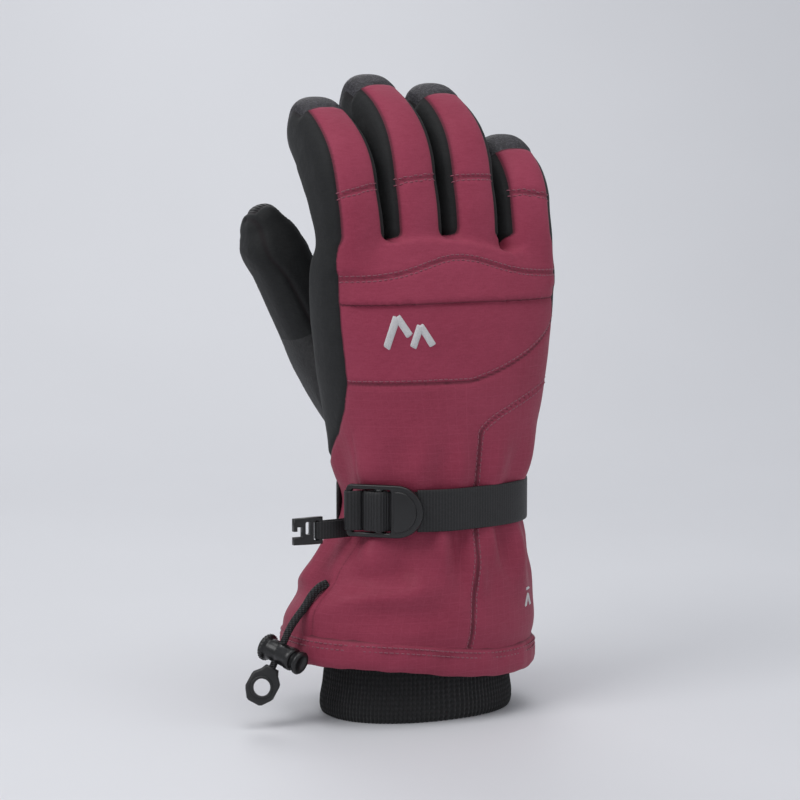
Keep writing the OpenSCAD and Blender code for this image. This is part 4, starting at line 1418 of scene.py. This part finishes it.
CORD_D = 0.0044
cord_low, cord_high = low_mm("drawcord"), high_mm("drawcord")
slit = np.array([cord_high[0] - 0.4, -10.0, cord_high[2] - CORD_D / MM / 2])
foot = np.array([cord_low[0] - 0.4, -7.5, cord_low[2] + 0.9])
hang = np.array([slit, slit + (-4, 0, -1.5), slit + (-8, 0.2, -5), slit + (-11.5, 0.5, -10),
                 foot + (9.7, -1.4, 20), foot + (4.8, -0.7, 10), foot])
route = smooth_curve(hang, 16)
cord_way = foot - hang[3]
cord_way /= np.linalg.norm(cord_way)
lock_at = foot - 8.5 * cord_way


def two_strands(path, strand):
    """Rings of a doubled cord along a path: two strands side by side, turning slowly round each other."""
    way = np.gradient(path, axis=0)
    way /= np.linalg.norm(way, axis=1)[:, None]
    side = np.cross(way, (0.35, -0.9, 0.0))
    side /= np.linalg.norm(side, axis=1)[:, None]
    front = np.cross(side, way)
    turn_by = np.linspace(-0.5, 0.9, len(path))
    angles = np.linspace(0, math.tau, 28, endpoint=False)
    radius = strand * (0.62 + 0.38 * np.abs(np.cos(angles)) ** 0.8)
    rings = []
    for n, place in enumerate(path):
        u = side[n] * math.cos(turn_by[n]) + front[n] * math.sin(turn_by[n])
        v = front[n] * math.cos(turn_by[n]) - side[n] * math.sin(turn_by[n])
        rings.append(place + np.outer(radius * np.cos(angles), u) + np.outer(radius * np.sin(angles), v))
    return rings


ELASTIC = elastic_material()
cord = tube("drawcord_elastic", two_strands(route, CORD_D / MM / 2), ELASTIC, ends=True)
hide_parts("drawcord")
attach(cord, "hand")


# %% Turned parts
def turned(name, profile, centre, axis, material, slot_name, flutes=None):
    """A round part: a profile of (radius, height) spun about an axis, with optional grip flutes by height."""
    axis = np.asarray(axis, float) / np.linalg.norm(axis)
    side = np.cross(axis, (0.3, 0.2, 0.9))
    side /= np.linalg.norm(side)
    front = np.cross(axis, side)
    angles = np.linspace(0, math.tau, 96, endpoint=False)
    rings = []
    for radius, height in profile:
        grip = 0.0
        if flutes and flutes[0] <= height <= flutes[1] and radius > 2:
            grip = 0.22 * np.cos(24 * angles)
        r = np.maximum(radius + grip, 0.01)
        ring = np.outer(r * np.cos(angles), side) + np.outer(r * np.sin(angles), front)
        rings.append(centre + height * axis + ring)
    return tube(name, rings, material, ends=True)


press = -np.array(joints["button_press"]["axis"])
barrel = [(4.4, -9.5), (5.7, -9.3), (6.3, -8.7), (6.4, -8.0), (6.3, -7.0), (5.7, -6.4), (5.2, -6.1),
          (5.15, -5), (5.15, -1.2), (4.95, -0.8), (4.95, 0.8), (5.15, 1.2), (5.15, 5), (5.3, 5.6),
          (5.5, 6.2), (5.5, 8.2), (5.2, 8.8), (4.6, 9.0)]
lock = turned("barrel_lock", barrel, lock_at, press, BUCKLE_PLASTIC, "buckle_plastic", (-8.8, -7.0))
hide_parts("cord_lock_body", "cord_lock_spring")
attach(lock, "cord_lock")
knob = [(4.1, 8.4), (4.2, 9.4), (4.2, 11.0), (4.5, 11.3), (5.3, 11.5), (5.6, 12.0), (5.6, 12.8), (5.3, 13.2),
        (4.6, 13.4), (3.0, 13.45), (2.6, 13.1)]
button = turned("lock_push_button", knob, lock_at, press, BUCKLE_PLASTIC, "buckle_plastic")
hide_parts("cord_lock_button")
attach(button, "lock_button")

# %% Cord end
across = np.array([0.883, -0.469, 0.0])
across -= across.dot(cord_way) * cord_way
across /= np.linalg.norm(across)
outwards = np.cross(across, cord_way)
END = Matrix([[across[k], cord_way[k], outwards[k], foot[k]] for k in range(3)] + [[0, 0, 0, 1]])
grip_half = [(3.2, -1.0), (4.4, 1.6), (7.0, 4.6), (7.3, 6.0), (7.3, 12.2), (6.6, 13.6), (4.0, 17.2),
             (2.8, 17.8)]
grip_outline = grip_half + [(-x, y) for x, y in grip_half[::-1]]
HOLE_AT = 9.6


def circle(radius, count):
    """A circle about the grip's hole."""
    turns = [math.tau * k / count for k in range(count)]
    return [(radius * math.cos(t), HOLE_AT + radius * math.sin(t)) for t in turns]


hole = circle(4.1, 40)
rim_ring = circle(5.4, 48)
end_piece = plate("cord_grip", [grip_outline, hole], 7.6, 1.3, END, END_PLASTIC)
end_rim = plate("cord_grip_rim", [rim_ring, hole], 8.8, 0.5, END, END_PLASTIC)
end_piece = merge(end_piece, end_rim)
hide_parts("cord_end")
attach(end_piece, "hand")

# %% [markdown]
# ## Stitches
# A stitch is a short arc of thread that dips into the cloth at both ends. Geometry Nodes repeats it: the
# seam becomes a curve, the curve is resampled at the stitch length, and an arc is set on every point,
# turned to the seam and to the cloth. The result is turned into plain mesh, because a piece must be final
# before it rides.

# %% Thread and the stitch tool
def thread_material(name, dark, light):
    m = Material(name, Roughness=0.45, Sheen_Weight=0.2)
    ply = m.noise(m.place(), 1600.0, 2.0)
    return m.feed(Base_Color=m.mix(ply, dark, light), Normal=m.bump(ply, 0.0001))


RED_THREAD = thread_material("red_thread", rgb(100, 36, 52), rgb(158, 84, 104))
WHITE_THREAD = thread_material("white_thread", rgb(176, 176, 178), rgb(214, 214, 216))


def stitch_tool():
    """Node group: seam lines in, rows of thread arcs out."""
    group = bpy.data.node_groups.new("stitches", "GeometryNodeTree")
    sockets = {}
    for key, kind in (("Geometry", "NodeSocketGeometry"), ("Spacing", "NodeSocketFloat"),
                      ("Thickness", "NodeSocketFloat"), ("Thread", "NodeSocketMaterial")):
        sockets[key] = group.interface.new_socket(key, in_out="INPUT", socket_type=kind).identifier
    group.interface.new_socket("Geometry", in_out="OUTPUT", socket_type="NodeSocketGeometry")
    nodes, links = group.nodes, group.links
    enter = nodes.new("NodeGroupInput")
    leave = nodes.new("NodeGroupOutput")
    to_curve = nodes.new("GeometryNodeMeshToCurve")
    resample = nodes.new("GeometryNodeResampleCurve")
    resample.mode = "LENGTH"
    tangent = nodes.new("GeometryNodeInputTangent")
    up = nodes.new("GeometryNodeInputNamedAttribute")
    up.data_type = "FLOAT_VECTOR"
    up.inputs["Name"].default_value = "up"
    turn_node = nodes.new("FunctionNodeAxesToRotation")
    turn_node.primary_axis = "Z"
    turn_node.secondary_axis = "X"
    arc_curve = nodes.new("GeometryNodeCurveQuadraticBezier")
    arc_curve.inputs["Resolution"].default_value = 5
    half = nodes.new("ShaderNodeMath")
    half.operation = "MULTIPLY"
    half.inputs[1].default_value = 0.36
    minus = nodes.new("ShaderNodeMath")
    minus.operation = "MULTIPLY"
    minus.inputs[1].default_value = -0.36
    start, middle, end = [nodes.new("ShaderNodeCombineXYZ") for _ in range(3)]
    start.inputs["Z"].default_value = -0.0003
    end.inputs["Z"].default_value = -0.0003
    middle.inputs["Z"].default_value = 0.00055
    ring = nodes.new("GeometryNodeCurvePrimitiveCircle")
    ring.inputs["Resolution"].default_value = 6
    to_mesh = nodes.new("GeometryNodeCurveToMesh")
    to_mesh.inputs["Fill Caps"].default_value = True
    place_node = nodes.new("GeometryNodeInstanceOnPoints")
    realize = nodes.new("GeometryNodeRealizeInstances")
    smooth = nodes.new("GeometryNodeSetShadeSmooth")
    paint = nodes.new("GeometryNodeSetMaterial")
    for source, target in (
            (enter.outputs["Geometry"], to_curve.inputs["Mesh"]),
            (to_curve.outputs[0], resample.inputs["Curve"]),
            (enter.outputs["Spacing"], resample.inputs["Length"]),
            (resample.outputs[0], place_node.inputs["Points"]),
            (up.outputs["Attribute"], turn_node.inputs["Primary Axis"]),
            (tangent.outputs[0], turn_node.inputs["Secondary Axis"]),
            (turn_node.outputs[0], place_node.inputs["Rotation"]),
            (enter.outputs["Spacing"], half.inputs[0]),
            (enter.outputs["Spacing"], minus.inputs[0]),
            (minus.outputs[0], start.inputs["X"]),
            (half.outputs[0], end.inputs["X"]),
            (start.outputs[0], arc_curve.inputs["Start"]),
            (middle.outputs[0], arc_curve.inputs["Middle"]),
            (end.outputs[0], arc_curve.inputs["End"]),
            (arc_curve.outputs[0], to_mesh.inputs["Curve"]),
            (enter.outputs["Thickness"], ring.inputs["Radius"]),
            (ring.outputs[0], to_mesh.inputs["Profile Curve"]),
            (to_mesh.outputs[0], place_node.inputs["Instance"]),
            (place_node.outputs[0], realize.inputs["Geometry"]),
            (realize.outputs[0], smooth.inputs["Geometry"]),
            (smooth.outputs[0], paint.inputs["Geometry"]),
            (enter.outputs["Thread"], paint.inputs["Material"]),
            (paint.outputs[0], leave.inputs["Geometry"])):
        links.new(source, target)
    return group, sockets


STITCHES, STITCH_SOCKETS = stitch_tool()
skin = BVHTree.FromPolygons(place.tolist(), tris.tolist())


def stitched(name, rows, thread, spacing=2.6, thick=0.3):
    """Rows of stitches along lines of (point, normal) pairs in millimetres."""
    spots, ups, edges = [], [], []
    for row in rows:
        first = len(spots)
        spots += [tuple(Vector(p) * MM) for p, _ in row]
        ups += [tuple(n) for _, n in row]
        edges += [(first + k, first + k + 1) for k in range(len(row) - 1)]
    data = bpy.data.meshes.new(name + "_lines")
    data.from_pydata(spots, edges, [])
    layer = data.attributes.new("up", "FLOAT_VECTOR", "POINT")
    layer.data.foreach_set("vector", np.array(ups, np.float32).ravel())
    holder = bpy.data.objects.new(name + "_lines", data)
    bpy.context.scene.collection.objects.link(holder)
    modifier = holder.modifiers.new("stitches", "NODES")
    modifier.node_group = STITCHES
    modifier[STITCH_SOCKETS["Spacing"]] = spacing * MM
    modifier[STITCH_SOCKETS["Thickness"]] = thick * MM
    modifier[STITCH_SOCKETS["Thread"]] = thread
    bpy.context.view_layer.update()
    made = bpy.data.meshes.new_from_object(holder.evaluated_get(bpy.context.evaluated_depsgraph_get()))
    bpy.data.objects.remove(holder)
    made.name = name
    made.materials.clear()
    return put(name, made, thread)


# %% Seam lines on the cloth
def on_body(u, z):
    """The cloth's point and normal at an angle and a height, found by looking in from outside."""
    target = body_ring(z, 20, np.radians([u]))[0]
    source = body_ring(z, -15, np.radians([u]))[0]
    hit, normal, _, _ = skin.ray_cast(Vector(source), (Vector(target) - Vector(source)).normalized())
    return hit, normal


def beside(line, offset):
    """A line moved sideways on the cloth by an offset in millimetres."""
    line = [(p, n) for p, n in line if p is not None]
    moved = []
    for k, (p, n) in enumerate(line):
        way = line[min(k + 1, len(line) - 1)][0] - line[max(k - 1, 0)][0]
        hit, normal, _, _ = skin.find_nearest(p + n.cross(way).normalized() * offset)
        moved.append((hit + normal * 0.05, normal))
    return moved


def body_seam(angles, heights):
    return [on_body(u, z) for u, z in zip(angles, heights)]


def finger_seam(f, w_at, reach=10.4):
    """A line across the back of a finger at a distance along it."""
    w, line_y, line_z, tilt = middle_line(f)
    line = []
    for p in np.linspace(-reach, reach, 24):
        k = np.argmin(np.abs(w - w_at - CROSS_SLOPE[f] * p))
        into = Vector((0, math.cos(tilt[k]), -math.sin(tilt[k])))
        centre = Vector((finger_x(f, line_z[k]) + p, line_y[k], line_z[k]))
        hit, normal, _, _ = skin.ray_cast(centre - into * 26, into)
        line.append((hit, normal))
    return line


def edge_angles(z):
    """The angles of the red back's two edges at a height."""
    left_at = 180 + np.interp(z, [128, 137, 150, 163, 200, 235], [-12, 0, 14, 22, 25, 28])
    right_at = 360 + np.interp(z, [124, 137, 163, 200, 235], [22, 6, -10, -25, -27])
    return left_at + 2.5, right_at - 2.5


left_u, right_u = edge_angles(215)
arch_u = np.linspace(left_u, right_u, 90)
arch = [on_body(u, arch_line(body_ring(216, 0, np.radians([u]))[0][0])) for u in arch_u]
back_u = np.linspace(edge_angles(163)[0], edge_angles(186)[1], 90)
low_back = body_seam(back_u, low_back_line(back_u))
seam_z = np.linspace(HEM_Z + 2, 160, 120)
seam_u = side_seam_line(seam_z)
side_line = [on_body(u, z) for u, z in zip(seam_u, seam_z) if z < low_back_line(u) - 2]
rows = [beside(arch, 1.5), beside(arch, -1.5), beside(low_back, 1.7), beside(side_line, 1.6),
        beside(side_line, -1.6)]
hand_stitches = stitched("hand_stitches", rows, RED_THREAD)
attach(hand_stitches, "hand")
for f, finger_name in enumerate(FINGERS):
    seam = CROSS_SEAM[f]
    knuckle = axis_points(ROOT[f], LEAN[f], math.radians(10), SPLIT_Z[f] - ROOT[f, 2] + 3.2, seam - 1.2)
    cross_line = finger_seam(f, seam)
    finger_stitches = stitched(finger_name + "_stitches", [beside(cross_line, 1.5), beside(cross_line, -1.5)],
                               RED_THREAD)
    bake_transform(finger_stitches)


def hem_row(lower):
    """A row of stitches on the hem band, below its seam."""
    ring = body_ring(HEM_Z - lower, -1.25, around[::2])
    normal = ring - np.array([section(1, HEM_Z), section(2, HEM_Z), HEM_Z - lower])
    ring[:, 2] += hem_lift(*ring.T)
    pairs = [(Vector(p), Vector(n).normalized()) for p, n in zip(ring, normal)]
    return pairs + pairs[:1]


hem_stitches = stitched("hem_stitches", [hem_row(2.0), hem_row(4.4)], RED_THREAD)
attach(hem_stitches, "hand")
print("stitches made")

# %% [markdown]
# ## Embroidery
# A generic mark of two peaks sits on the back of the hand. Satin stitch is many threads side by side, so
# each bar of the mark is a fine grid laid on the cloth, rounded across its width and rippled along its
# length.

# %% Satin stitch bars
def satin(name, bars, u0, z0, turn_scale, rides):
    """Bars of satin stitch. Each has two ends and a width in millimetres, about a place on the cloth."""
    verts, faces = [], []
    for (x0, y0), (x1, y1), width in bars:
        run = math.hypot(x1 - x0, y1 - y0)
        rows_n = max(int(run / 0.16), 8)
        nx, ny = -(y1 - y0) / run, (x1 - x0) / run
        first = len(verts)
        for i in range(rows_n + 1):
            s = i / rows_n
            for j in range(11):
                t = j / 10 * 2 - 1
                a = x0 + (x1 - x0) * s + nx * t * width / 2
                b = y0 + (y1 - y0) * s + ny * t * width / 2
                hit, normal = on_body(u0 + a * turn_scale, z0 + b)
                rise = 0.75 * (1 - abs(t) ** 3) * min(1, 12 * min(s, 1 - s) + 0.2) + 0.07 * math.sin(i * 2.1)
                verts.append(tuple((hit + normal * (rise - 0.15)) * MM))
        for i in range(rows_n):
            for j in range(10):
                k = first + i * 11 + j
                faces.append((k, k + 11, k + 12, k + 1))
    made = bpy.data.meshes.new(name)
    made.from_pydata(verts, [], faces)
    made.polygons.foreach_set("use_smooth", [True] * len(faces))
    obj = put(name, made, WHITE_THREAD)
    edit = bmesh.new()
    edit.from_mesh(made)
    bmesh.ops.recalc_face_normals(edit, faces=edit.faces)
    edit.to_mesh(made)
    edit.free()
    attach(obj, rides)
    return obj


peaks = [((-12.5, -7), (-3.8, 7.4), 4.4), ((-3.6, 7.6), (1.8, -1.6), 4.4), ((2.6, -7), (8.0, 3.2), 3.8),
         ((7.8, 3.4), (12.8, -6.4), 3.8)]
emblem_u = 246.0
emblem_z = (low_mm("emblem")[2] + high_mm("emblem")[2]) / 2 - 2
mark = satin("peaks_mark", peaks, emblem_u, emblem_z, 0.95, "hand")
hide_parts("emblem")
small = [((-3.4, -5), (0, 1), 1.6), ((0, 1), (3.4, -5), 1.6), ((-2.4, 3.4), (2.4, 3.4), 1.4)]
satin("small_mark", small, 318.0, 56.0, 1.1, "hand")
print("embroidery made")
